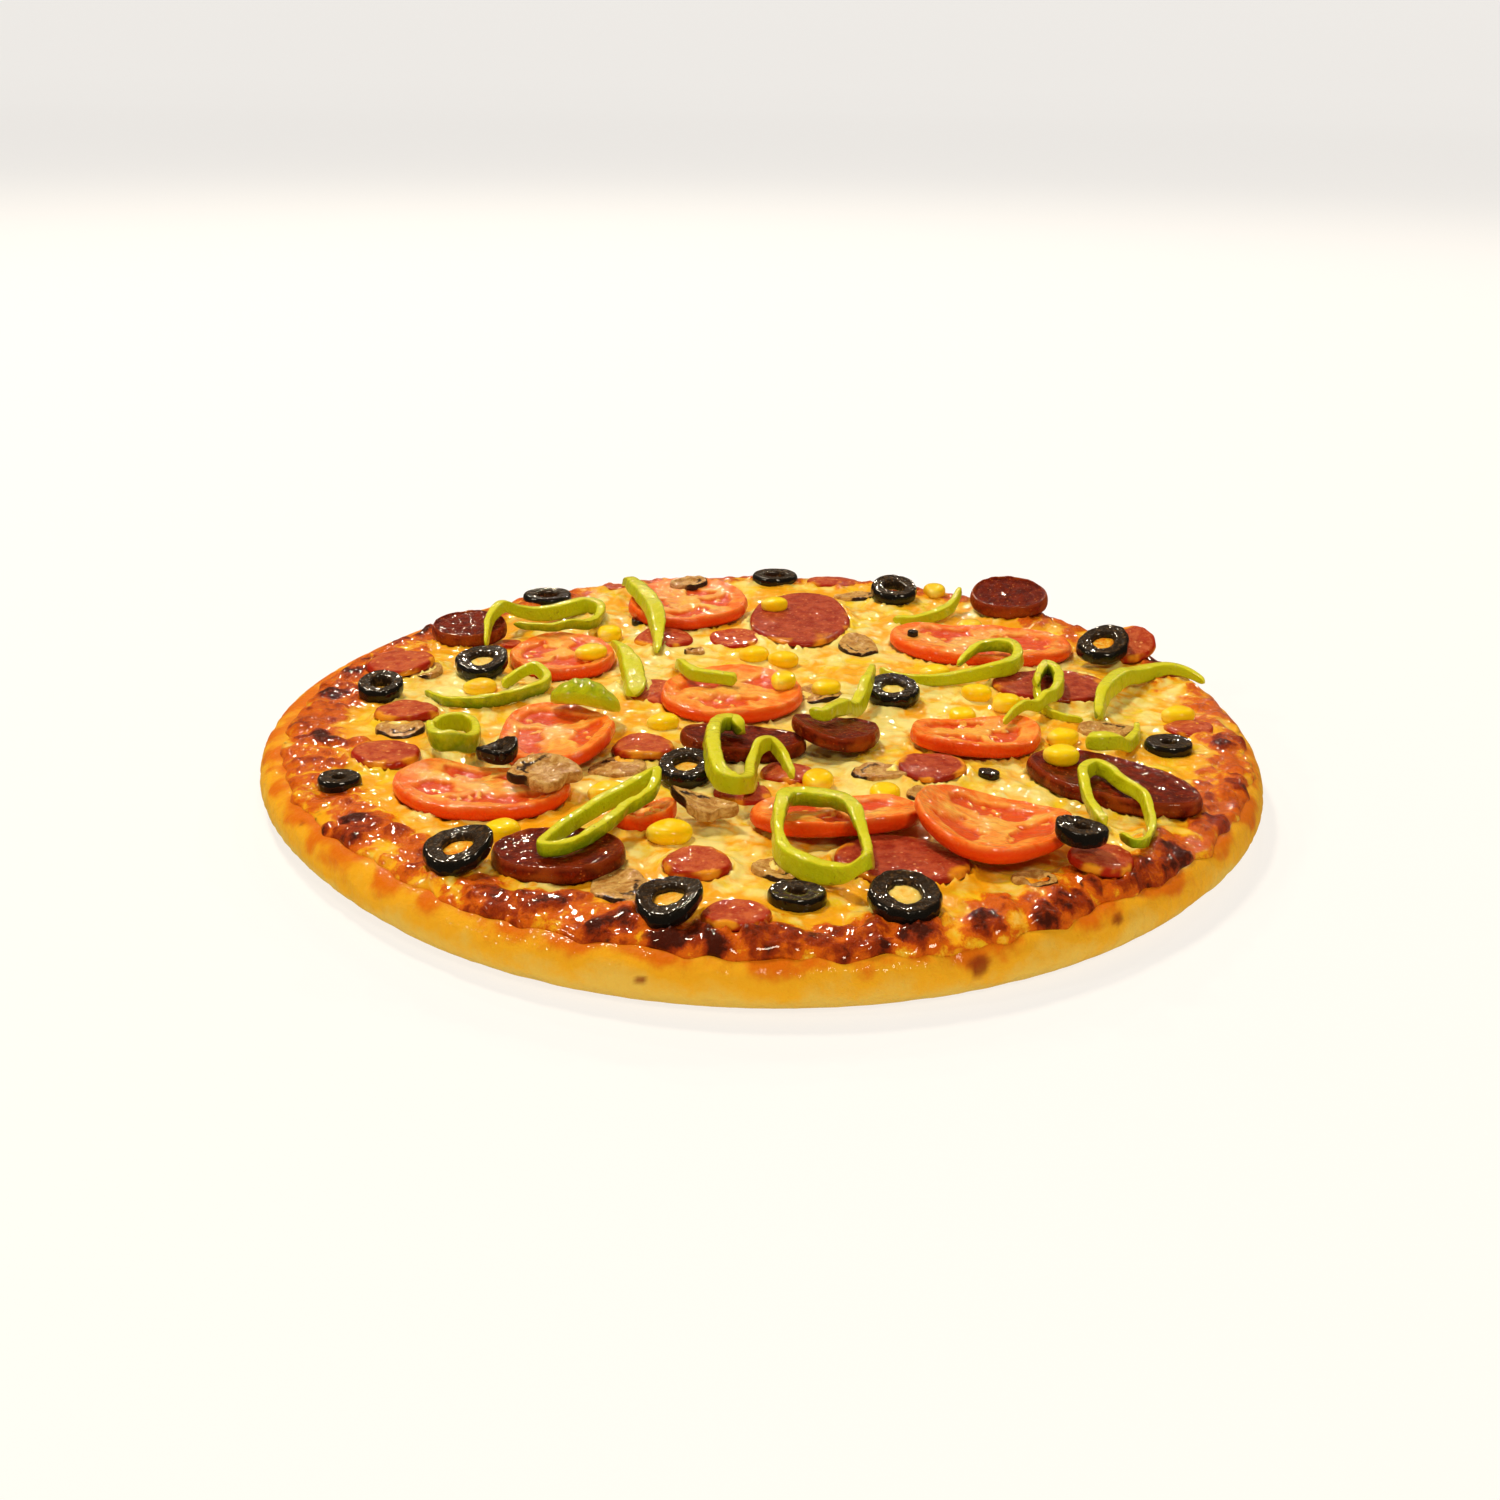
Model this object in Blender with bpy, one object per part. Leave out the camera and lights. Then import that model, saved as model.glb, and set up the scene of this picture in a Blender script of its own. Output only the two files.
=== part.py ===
"""A round pan pizza with mixed toppings, at its real size.

The dough is a shallow dish with a rolled edge. Melted cheese fills it and runs over the edge in browned
crags. Tomato, sausage, olive, mushroom and pepper lie on the cheese and on each other, laid one after the
other from the bottom up, so that each rests on what was laid before it. Sweetcorn and small olives are sunk
into what carries them.

Lengths are in millimetres and become metres as each mesh is made. The origin is the middle of the underside,
+Z is up, and -Y is the side that faces the viewer.
"""

import math
import random
from dataclasses import dataclass

import bpy
import numpy as np
from mathutils import Vector, noise
from mathutils.geometry import delaunay_2d_cdt

MM = 0.001

# The dough: a flat base, a rolled edge and a floor that the cheese lies on
BASE_RADIUS = 138.0
WIDEST_RADIUS = 145.2
CREST_RADIUS = 139.2
EDGE_HEIGHT = 13.8
SHOULDER_RADIUS = 132.5
FLOOR_HEIGHT = 10.8
FLOOR_RADIUS = 126.0
DOUGH_PROFILE = (
    (BASE_RADIUS, 0.0),
    (BASE_RADIUS + 4.6, 1.8),
    (WIDEST_RADIUS, 5.2),
    (WIDEST_RADIUS - 0.2, 9.0),
    (WIDEST_RADIUS - 2.0, 12.2),
    (CREST_RADIUS, EDGE_HEIGHT),
    (SHOULDER_RADIUS, 12.9),
    (FLOOR_RADIUS, FLOOR_HEIGHT),
)
DOUGH_SIDES = 90
FAR_SIDE_DOUGH_RISE = 0.13

# Where the rolled edge stands out or draws in: direction and width in degrees, and share of the radius
DOUGH_SWELLS = ((178.0, 22.0, 0.013), (222.0, 18.0, -0.012), (270.0, 25.0, 0.008), (318.0, 20.0, -0.008))

# The cheese: its level, its relief and how close its points lie
CHEESE_LEVEL = 15.4
CHEESE_EDGE_RADIUS = 139.4
CHEESE_EDGE_THICKNESS = 1.1
FAR_SIDE_RISE = 2.2
CHEESE_POINT_SPACING = 7.9
CRAG_POINT_SPACING = 6.1
CRAG_BAND = 16.0
CRAG_HEIGHT = 1.9
WELL_DEPTH = 2.0
SUNK_PIECE_RISE = 0.9

# Clearances between solids that touch
GAP = 0.32
EDGE_GAP = 0.55

# The steepest that a slice may lie, and how far out the middles of slices and the line of a ribbon may be
STEEPEST_TILT = 0.22
SLICE_REACH = 131.0
RIBBON_REACH = 141.0

# How the photograph looks at the pizza, which turns a place in it into a place on the pizza
PHOTO_MIDDLE = 750.0
FOCAL_PIXELS = 1622.8
VIEW_ELEVATION = math.radians(22.82)
VIEW_ROLL = math.radians(0.97)
VIEW_DISTANCE = 500.0
VIEW_AIM = (-3.9, 8.5)


@dataclass(frozen=True)
class Slice:
    """A flat piece: its middle in the photograph, its length and width, and how it is turned and shaped."""

    name: str
    kind: str
    seen_at: tuple
    size: tuple
    turn: float = 0.0
    cut: float = 1.0
    lean: tuple = (0.0, 0.0)


@dataclass(frozen=True)
class Strip:
    """A ribbon of pepper: its line in the photograph, its level, its widths and heights from end to end."""

    name: str
    seen_along: tuple
    level: float
    width: tuple
    height: tuple
    closed: bool = False
    stations: int = 16
    joined_to: str = ""


@dataclass(frozen=True)
class Kernel:
    """A grain of sweetcorn: its middle in the photograph and how it is turned."""

    seen_at: tuple
    turn: float = 0.0


THICKNESS = {
    "salami": 1.8,
    "sausage": 2.6,
    "sucuk": 4.4,
    "tomato": 4.6,
    "mushroom": 3.0,
    "olive": 4.2,
    "pepper": 3.4,
}

# How many sides each kind's outline has, and how far it wanders from an oval
OUTLINE_SIDES = {"tomato": 18, "sucuk": 16, "salami": 18, "mushroom": 16}
OUTLINE_ROUGHNESS = {"tomato": 0.06, "sucuk": 0.03, "salami": 0.05, "mushroom": 0.03}

# How little each kind bends to lie on what is below it
STIFFNESS = {"salami": 0.001, "tomato": 0.003, "sausage": 0.01}

COLOURS = {
    "dough": ((0.86, 0.55, 0.17), 0.45),
    "cheese": ((0.86, 0.66, 0.24), 0.3),
    "salami": ((0.62, 0.17, 0.14), 0.35),
    "sausage": ((0.66, 0.19, 0.15), 0.35),
    "sucuk": ((0.16, 0.025, 0.015), 0.35),
    "tomato": ((0.85, 0.17, 0.05), 0.25),
    "mushroom": ((0.5, 0.33, 0.16), 0.5),
    "olive": ((0.012, 0.011, 0.012), 0.2),
    "pepper": ((0.42, 0.56, 0.05), 0.3),
}

# Every slice, from the bottom up. A cut under 1 leaves that share of a round slice, with a straight side
SLICES = (
    Slice("salami_1", "salami", (800, 619), (50, 36), 84),
    Slice("salami_2", "salami", (1052, 686), (38, 27), 6),
    Slice("salami_3", "salami", (932, 767), (20, 19), 15),
    Slice("salami_4", "salami", (903, 860), (34, 29), -20),
    Slice("sausage_1", "sausage", (401, 663), (22, 21), 20),
    Slice("sausage_2", "sausage", (407, 711), (20, 17), -10),
    Slice("sausage_3", "sausage", (386, 754), (21, 18), -25),
    Slice("sausage_4", "sausage", (643, 747), (19, 18)),
    Slice("sausage_5", "sausage", (697, 863), (17.5, 16)),
    Slice("sausage_6", "sausage", (736, 915), (17, 14)),
    Slice("sausage_7", "sausage", (1101, 859), (18, 15), 20, lean=(150, 2.5)),
    Slice("sausage_8", "sausage", (1138, 643), (19, 17), -20, lean=(60, 6.0)),
    Slice("sucuk_1", "sucuk", (470, 630), (26, 20), 10, lean=(90, 4.0)),
    Slice("sucuk_2", "sucuk", (742, 742), (37, 21), 4),
    Slice("sucuk_3", "sucuk", (836, 731), (27, 23), 20),
    Slice("sucuk_4", "sucuk", (1009, 598), (28, 18), -5, lean=(80, 6.5)),
    Slice("sucuk_5", "sucuk", (1112, 783), (54, 27), -40),
    Slice("sucuk_6", "sucuk", (558, 855), (34, 26), -6),
    Slice("tomato_1", "tomato", (482, 787), (48, 37), -10, cut=0.8),
    Slice("tomato_2", "tomato", (556, 733), (48, 34), 105),
    Slice("tomato_3", "tomato", (733, 694), (45, 42), 30),
    Slice("tomato_4", "tomato", (688, 603), (44, 42), 0, lean=(90, 3.0)),
    Slice("tomato_5", "tomato", (563, 657), (38, 34), 80),
    Slice("tomato_6", "tomato", (982, 644), (62, 38), -6, cut=0.86),
    Slice("tomato_7", "tomato", (976, 733), (40, 32), 8, cut=0.82),
    Slice("tomato_9", "tomato", (838, 812), (46, 28), 4, cut=0.85),
    Slice("tomato_8", "tomato", (993, 822), (42, 43), 20),
    Slice("tomato_10", "tomato", (644, 813), (17, 14), 20, cut=0.75),
    Slice("mushroom_1", "mushroom", (545, 771), (21, 15), 8, lean=(90, 2.5)),
    Slice("mushroom_2", "mushroom", (704, 804), (19, 9.5), -12),
    Slice("olive_1", "olive", (381, 687), (14, 13), lean=(90, 3.0)),
    Slice("olive_2", "olive", (482, 664), (17, 16.5), lean=(100, 2.5)),
    Slice("olive_3", "olive", (497, 754), (12, 10), lean=(90, 1.5)),
    Slice("olive_4", "olive", (458, 848), (17.5, 16), 8, lean=(80, 3.0)),
    Slice("olive_5", "olive", (686, 768), (16, 15), lean=(90, 3.0)),
    Slice("olive_6", "olive", (893, 691), (17, 16.5), lean=(90, 2.5)),
    Slice("olive_7", "olive", (894, 590), (17, 16), lean=(90, 3.0)),
    Slice("olive_8", "olive", (1102, 650), (17, 16), lean=(80, 3.0)),
    Slice("olive_9", "olive", (1081, 843), (14, 8.5), 8),
    Slice("olive_10", "olive", (905, 897), (17.5, 17), lean=(110, 3.5)),
    Slice("olive_11", "olive", (669, 901), (16, 15), lean=(80, 3.5)),
    Slice("pepper_6", "pepper_cup", (586, 701), (22, 13), -10),
)

# Every ribbon of pepper
STRIPS = (
    Strip(
        "pepper_1",
        ((502, 683), (520, 675), (540, 675), (546, 683), (526, 691), (485, 700), (448, 698), (425, 686)),
        18.5,
        (2.4, 3.4, 3.0, 1.6),
        (3.5, 4.5, 4.5, 2.0),
        stations=17,
    ),
    Strip(
        "pepper_2",
        ((432, 736), (440, 722), (458, 717), (472, 723), (475, 735), (464, 746), (448, 751), (436, 747)),
        20.0,
        (3.2, 2.6, 3.4, 3.8),
        (6.0, 5.5, 6.0, 6.5),
        closed=True,
    ),
    Strip(
        "pepper_3",
        (
            (486, 643),
            (492, 626),
            (512, 615),
            (548, 609),
            (582, 602),
            (599, 603),
            (592, 618),
            (552, 629),
            (514, 627),
        ),
        21.0,
        (1.8, 4.2, 5.0, 3.2, 2.0),
        (3.0, 4.5, 5.5, 4.0, 2.5),
        stations=18,
    ),
    Strip(
        "pepper_4",
        ((625, 582), (634, 592), (647, 604), (657, 620), (657, 637)),
        22.5,
        (4.0, 7.5, 7.0, 2.5),
        (3.0, 4.5, 4.5, 2.5),
        stations=11,
    ),
    Strip(
        "pepper_5",
        ((612, 646), (621, 654), (630, 667), (634, 680), (634, 690)),
        19.5,
        (1.6, 5.0, 8.5, 9.0, 6.0),
        (2.4, 3.4, 3.6, 3.6, 3.0),
        stations=8,
    ),
    Strip(
        "pepper_7",
        ((678, 654), (680, 667), (695, 678), (714, 679), (737, 681)),
        20.5,
        (2.0, 2.6, 4.0, 4.6),
        (3.0, 3.6, 4.0, 3.6),
        stations=12,
    ),
    Strip(
        "pepper_8",
        (
            (742, 732),
            (731, 724),
            (716, 732),
            (711, 754),
            (718, 775),
            (736, 783),
            (750, 773),
            (752, 757),
            (763, 743),
            (779, 743),
            (794, 761),
        ),
        22.5,
        (4.8, 5.6, 5.4, 3.4, 2.6),
        (4.8, 5.4, 5.8, 4.8, 2.8),
        stations=20,
    ),
    Strip(
        "pepper_9",
        ((809, 720), (822, 723), (838, 713), (854, 700), (867, 685), (874, 670)),
        22.5,
        (2.2, 5.0, 4.6, 2.2),
        (3.0, 5.0, 5.0, 3.0),
        stations=12,
    ),
    Strip(
        "pepper_10",
        ((893, 615), (914, 617), (936, 613), (950, 607), (960, 602)),
        20.0,
        (2.4, 4.0, 4.4, 2.4),
        (2.5, 3.6, 4.0, 3.0),
        stations=11,
    ),
    Strip(
        "pepper_11",
        (
            (880, 662),
            (897, 670),
            (930, 674),
            (964, 674),
            (995, 673),
            (1013, 668),
            (1018, 660),
            (1009, 652),
            (988, 650),
            (969, 655),
            (958, 661),
        ),
        20.0,
        (1.8, 3.0, 4.4, 4.4, 2.6),
        (3.0, 3.6, 5.2, 4.8, 2.6),
        stations=19,
    ),
    Strip(
        "pepper_12",
        (
            (1003, 724),
            (1019, 711),
            (1042, 702),
            (1058, 690),
            (1057, 676),
            (1046, 669),
            (1037, 679),
            (1036, 691),
        ),
        20.0,
        (1.6, 2.6, 4.4, 4.0, 2.4),
        (2.4, 3.6, 5.0, 5.0, 3.0),
        stations=16,
    ),
    Strip(
        "pepper_12_tail",
        ((1036, 690), (1037, 700), (1047, 710), (1063, 715), (1083, 719)),
        17.5,
        (2.4, 2.6, 1.6),
        (3.0, 2.8, 2.0),
        stations=9,
        joined_to="pepper_12",
    ),
    Strip(
        "pepper_13",
        ((1099, 714), (1103, 699), (1120, 683), (1146, 673), (1172, 670), (1196, 675), (1214, 679)),
        19.0,
        (3.6, 5.4, 6.6, 5.0, 1.8),
        (4.0, 5.5, 5.5, 4.0, 2.0),
        stations=15,
    ),
    Strip(
        "pepper_14",
        ((1085, 747), (1103, 749), (1123, 745), (1136, 732), (1138, 719)),
        19.0,
        (7.0, 5.0, 3.0, 1.8),
        (4.0, 4.6, 3.8, 2.4),
        stations=12,
    ),
    Strip(
        "pepper_15",
        (
            (1106, 818),
            (1094, 804),
            (1083, 784),
            (1088, 772),
            (1103, 772),
            (1121, 786),
            (1141, 799),
            (1152, 818),
            (1146, 837),
            (1133, 845),
            (1119, 838),
        ),
        20.5,
        (3.6, 3.8, 2.8, 2.6, 1.8),
        (4.4, 4.8, 4.0, 4.0, 2.4),
        stations=20,
    ),
    Strip(
        "pepper_16",
        (
            (788, 800),
            (778, 822),
            (783, 842),
            (806, 855),
            (836, 862),
            (862, 872),
            (870, 857),
            (864, 835),
            (850, 815),
            (824, 802),
        ),
        22.5,
        (6.0, 3.6, 5.0, 3.4, 3.2, 5.8),
        (5.0, 5.5, 6.0, 4.5, 4.0, 4.5),
        closed=True,
        stations=22,
    ),
    Strip(
        "pepper_17",
        (
            (543, 847),
            (566, 825),
            (600, 806),
            (634, 792),
            (655, 790),
            (650, 800),
            (626, 809),
            (604, 826),
            (574, 844),
        ),
        22.0,
        (3.0, 3.2, 4.0, 3.0, 3.4),
        (4.0, 4.0, 4.5, 4.0, 4.0),
        closed=True,
        stations=20,
    ),
)

# Olive rings that lie so deep in the cheese that they are one piece with it
SUNK_OLIVES = (
    Slice("sunk_olive_1", "olive", (548, 600), (17, 15)),
    Slice("sunk_olive_2", "olive", (775, 582), (16.5, 15)),
    Slice("sunk_olive_3", "olive", (1169, 742), (14, 12)),
    Slice("sunk_olive_4", "olive", (797, 894), (14, 11)),
    Slice("sunk_olive_5", "olive", (339, 779), (12, 10)),
)

# Sausage and mushroom that the cheese has closed round, seen as low plateaus in it: place, length and width
SUNK_SLICES = (
    ((661, 693), (20, 19)),
    ((664, 641), (21, 18)),
    ((735, 641), (18, 17)),
    ((838, 579), (21, 14)),
    ((908, 583), (18, 14)),
    ((742, 795), (16, 14)),
    ((788, 775), (16, 14)),
    ((1188, 730), (15, 13)),
    ((423, 674), (14, 13)),
    ((401, 731), (16, 12)),
    ((618, 769), (16, 15)),
    ((619, 889), (14, 25)),
    ((781, 873), (16, 12)),
    ((881, 776), (18, 11)),
    ((1106, 733), (18, 14)),
    ((858, 648), (16, 22)),
    ((1035, 884), (12, 9)),
    ((858, 604), (19, 10)),
    ((816, 694), (19, 18)),
)

KERNELS = (
    Kernel((480, 685), 5),
    Kernel((609, 632), 60),
    Kernel((591, 660), 20),
    Kernel((663, 719), 10),
    Kernel((774, 614), 10),
    Kernel((754, 653), 0),
    Kernel((783, 657), -15),
    Kernel((783, 690), 70),
    Kernel((826, 686), 20),
    Kernel((934, 596), 80),
    Kernel((969, 624), 40),
    Kernel((935, 673), 10),
    Kernel((976, 693), -35),
    Kernel((1006, 703), 40),
    Kernel((962, 711), -60),
    Kernel((1178, 713), 10),
    Kernel((1063, 734), 15),
    Kernel((1060, 766), -10),
    Kernel((885, 789), 75),
    Kernel((818, 780), 85),
    Kernel((669, 833), 4),
    Kernel((502, 827), -10),
    Kernel((606, 789), 25),
)
KERNEL_SIZE = (9.2, 7.6, 5.4)
KERNEL_SUNK = 1.3
SMALL_PIECE_LEVEL = CHEESE_LEVEL + 2.0
SUNK_OLIVE_DEPTH = 1.4


def clear_scene():
    """Removes whatever the file opened with."""
    for item in list(bpy.data.objects):
        bpy.data.objects.remove(item)


def finish_of(kind):
    """The plain material of one kind of piece, made once."""
    kind = "pepper" if kind.startswith("pepper") else kind
    material = bpy.data.materials.get(kind)
    if material:
        return material
    colour, roughness = COLOURS[kind]
    material = bpy.data.materials.new(kind)
    material.use_nodes = True
    shader = material.node_tree.nodes["Principled BSDF"]
    shader.inputs["Base Color"].default_value = (*colour, 1.0)
    shader.inputs["Roughness"].default_value = roughness
    shader.inputs["Metallic"].default_value = 0.0
    return material


def add_object(name, kind, points, faces):
    """One named object from points in millimetres and their faces."""
    mesh = bpy.data.meshes.new(name)
    mesh.from_pydata([Vector(p) * MM for p in points], [], faces)
    mesh.materials.append(finish_of(kind))
    mesh.shade_smooth()
    mesh.set_sharp_from_angle(angle=math.radians(50))
    made = bpy.data.objects.new(name, mesh)
    bpy.context.scene.collection.objects.link(made)
    return made


def plan_point(pixel, height):
    """Where the line of sight through a pixel of the photograph meets the level at this height."""
    cosine, sine = math.cos(VIEW_ELEVATION), math.sin(VIEW_ELEVATION)
    eye = Vector((VIEW_AIM[0], VIEW_AIM[1] - VIEW_DISTANCE * cosine, VIEW_DISTANCE * sine))
    forward = Vector((0.0, cosine, -sine))
    level = Vector((1.0, 0.0, 0.0))
    upward = level.cross(forward)
    right = level * math.cos(VIEW_ROLL) + upward * math.sin(VIEW_ROLL)
    up = upward * math.cos(VIEW_ROLL) - level * math.sin(VIEW_ROLL)
    across = (pixel[0] - PHOTO_MIDDLE) / FOCAL_PIXELS
    down = (pixel[1] - PHOTO_MIDDLE) / FOCAL_PIXELS
    ray = forward + right * across - up * down
    reach = (height - eye.z) / ray.z
    meet = eye + ray * reach
    return meet.x, meet.y


def place_on_pizza(pixel, height, reach):
    """The place seen through a pixel at this height, drawn in to this distance from the middle."""
    x, y = plan_point(pixel, height)
    share = min(1.0, reach / math.hypot(x, y))
    return x * share, y * share


def wander(seed, angle, harmonics=(2, 3, 5), sizes=(1.0, 0.7, 0.4)):
    """A smooth swing between about -1 and 1 round a closed outline, the same for the same seed."""
    draw = random.Random(seed)
    total = 0.0
    for harmonic, size in zip(harmonics, sizes):
        total += size * math.sin(harmonic * angle + draw.uniform(0.0, math.tau))
    return total / sum(sizes)


def relief(x, y, spacing, seed):
    """Smooth noise between about -1 and 1 whose bumps lie about this far apart."""
    return noise.noise(Vector((x / spacing, y / spacing, seed)))


def soft_step(value, low, high):
    """0 below low, 1 above high, with a smooth rise between them."""
    share = min(1.0, max(0.0, (value - low) / (high - low)))
    return share * share * (3.0 - 2.0 * share)


def dough_rise(angle):
    """How much higher than its profile the dough has risen in this direction, as a factor."""
    return 1.0 + FAR_SIDE_DOUGH_RISE * soft_step(math.sin(angle + 0.35), 0.0, 0.7)


def dough_height(radius, angle):
    """Height of the dough's upper surface at this distance from its middle, before the swell."""
    upper = [(0.0, FLOOR_HEIGHT), *reversed(DOUGH_PROFILE[4:])]
    heights = [upper[0][1]] + [height * dough_rise(angle) for _, height in upper[1:]]
    return float(np.interp(radius, [point[0] for point in upper], heights))


def dough_swell(angle):
    """How far the rolled edge wanders from a true circle, as a share of its radius."""
    swell = 1.0 + 0.003 * wander("dough", angle, (3, 4, 7), (1.0, 0.8, 0.4))
    for degrees, width, size in DOUGH_SWELLS:
        swell += size * math.exp(-(((math.degrees(angle) - degrees) / width) ** 2))
    return swell


def ring_faces(start_a, start_b, sides):
    """Quads between two rings of points, the second lying further along."""
    return [
        (start_a + i, start_a + (i + 1) % sides, start_b + (i + 1) % sides, start_b + i)
        for i in range(sides)
    ]


def fan_faces(start, sides, middle, reverse=False):
    """Triangles from a ring of points to its middle point."""
    fan = [(start + i, start + (i + 1) % sides, middle) for i in range(sides)]
    return [face[::-1] for face in fan] if reverse else fan


def make_dough():
    """The dough, lofted from rings that follow its profile from the base up and over the rolled edge."""
    points = []
    for radius, height in DOUGH_PROFILE:
        for i in range(DOUGH_SIDES):
            angle = math.tau * i / DOUGH_SIDES
            reach = radius * dough_swell(angle)
            points.append((reach * math.cos(angle), reach * math.sin(angle), height * dough_rise(angle)))
    faces = []
    for k in range(len(DOUGH_PROFILE) - 1):
        faces += ring_faces(k * DOUGH_SIDES, (k + 1) * DOUGH_SIDES, DOUGH_SIDES)
    points += [(0.0, 0.0, 0.0), (0.0, 0.0, FLOOR_HEIGHT)]
    last = (len(DOUGH_PROFILE) - 1) * DOUGH_SIDES
    faces += fan_faces(0, DOUGH_SIDES, len(points) - 2, reverse=True)
    faces += fan_faces(last, DOUGH_SIDES, len(points) - 1)
    return add_object("dough", "dough", points, faces)


def cheese_edge(angle):
    """How far out the cheese has run over the rolled edge in this direction."""
    ragged = 1.3 * wander("cheese edge", angle, (5, 9, 14, 23), (1.0, 0.9, 0.8, 0.5))
    return (CHEESE_EDGE_RADIUS + ragged + 1.4 * math.cos(angle) - 1.5 * math.sin(angle)) * dough_swell(angle)


def inside_share(x, y, middle, size, turn=0.0):
    """0 at the middle of an oval, 1 on its outline."""
    cosine, sine = math.cos(math.radians(turn)), math.sin(math.radians(turn))
    along = (x - middle[0]) * cosine + (y - middle[1]) * sine
    across = (y - middle[1]) * cosine - (x - middle[0]) * sine
    return math.hypot(2.0 * along / size[0], 2.0 * across / size[1])


class CheeseRelief:
    """The height of the cheese: dimpled under heavy slices, raised over sunk ones, craggy at the edge."""

    def __init__(self):
        heavy = [s for s in SLICES if s.kind in ("tomato", "sucuk")]
        self.wells = [(plan_point(s.seen_at, CHEESE_LEVEL + 2.0), s.size, s.turn) for s in heavy]
        self.plateaus = [(place_on_pizza(at, CHEESE_LEVEL, SLICE_REACH), size) for at, size in SUNK_SLICES]

    def crag_share(self, x, y):
        """How browned and craggy the cheese is here, from 0 in the middle to 1 near the edge."""
        radius = math.hypot(x, y)
        inner = cheese_edge(math.atan2(y, x) % math.tau) - CRAG_BAND
        return soft_step(radius + 5.0 * relief(x, y, 17.0, 3.1), inner, inner + 7.0)

    def height(self, x, y):
        """Height of the top of the cheese."""
        radius = math.hypot(x, y)
        angle = math.atan2(y, x) % math.tau
        edge = cheese_edge(angle)
        level = CHEESE_LEVEL + FAR_SIDE_RISE * soft_step(y, 55.0, 110.0)
        level += 0.9 * relief(x, y, 26.0, 7.7) + 0.35 * relief(x, y, 9.0, 1.3)
        well = min([1.0] + [soft_step(inside_share(x, y, *w), 0.95, 1.3) for w in self.wells])
        level -= WELL_DEPTH * (1.0 - well)
        rise = max([0.0] + [1.0 - soft_step(inside_share(x, y, *p), 0.8, 1.25) for p in self.plateaus])
        level += SUNK_PIECE_RISE * rise
        crags = CRAG_HEIGHT * max(0.0, relief(x, y, 7.5, 5.5) + 0.25) * self.crag_share(x, y)
        angle = math.atan2(y, x) % math.tau
        over_edge = dough_height(radius / dough_swell(angle), angle) + EDGE_GAP + CHEESE_EDGE_THICKNESS
        fall = soft_step(radius, edge - 9.0, edge - 1.0)
        return max(level + crags, over_edge) * (1.0 - fall) + (over_edge + crags) * fall


def scattered_points(edge_of, craggy_from):
    """A lattice of points inside an outline, closer together near the edge, each nudged a little."""
    draw = random.Random("cheese points")
    points = []
    zones = ((CHEESE_POINT_SPACING, 0.0, craggy_from), (CRAG_POINT_SPACING, craggy_from, WIDEST_RADIUS))
    for spacing, low, high in zones:
        row_step = spacing * math.sqrt(3.0) / 2.0
        rows = int(WIDEST_RADIUS / row_step) + 1
        for row in range(-rows, rows + 1):
            for column in range(-rows - 1, rows + 2):
                x = (column + 0.5 * (row % 2)) * spacing + draw.uniform(-0.6, 0.6)
                y = row * row_step + draw.uniform(-0.6, 0.6)
                radius = math.hypot(x, y)
                if low <= radius < high and radius < edge_of(math.atan2(y, x) % math.tau) - 0.6 * spacing:
                    points.append((x, y))
    return points


def make_cheese(surface):
    """The cheese: a triangulated top with relief, closed underneath by rings that follow the dough."""
    angles = [math.tau * i / DOUGH_SIDES for i in range(DOUGH_SIDES)]
    rim = [(cheese_edge(a) * math.cos(a), cheese_edge(a) * math.sin(a)) for a in angles]
    inner = scattered_points(cheese_edge, FLOOR_RADIUS - 8.0)
    border = [(i, (i + 1) % DOUGH_SIDES) for i in range(DOUGH_SIDES)]
    flat, _, faces, _, _, _ = delaunay_2d_cdt([Vector(p) for p in rim + inner], border, [], 1, 0.01)
    points = []
    for i, place in enumerate(flat):
        if i < DOUGH_SIDES:
            radius = place.length / dough_swell(angles[i])
            level = dough_height(radius, angles[i]) + EDGE_GAP + 0.6 * CHEESE_EDGE_THICKNESS
            points.append((place.x, place.y, level))
        else:
            points.append((place.x, place.y, surface.height(place.x, place.y)))
    faces = [tuple(face) for face in faces]
    previous = 0
    steps_in = ((0.8, WIDEST_RADIUS), (1.6, CREST_RADIUS), (5.0, SHOULDER_RADIUS), (9.0, FLOOR_RADIUS - 1.0))
    for inward, limit in steps_in:
        start = len(points)
        for angle in angles:
            swell = dough_swell(angle)
            radius = min(cheese_edge(angle) / swell - inward, limit)
            height = dough_height(radius, angle) + EDGE_GAP
            points.append((radius * swell * math.cos(angle), radius * swell * math.sin(angle), height))
        faces += ring_faces(start, previous, DOUGH_SIDES)
        previous = start
    points.append((0.0, 0.0, FLOOR_HEIGHT + EDGE_GAP))
    faces += fan_faces(previous, DOUGH_SIDES, len(points) - 1, reverse=True)
    return add_object("cheese", "cheese", points, faces)


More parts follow.
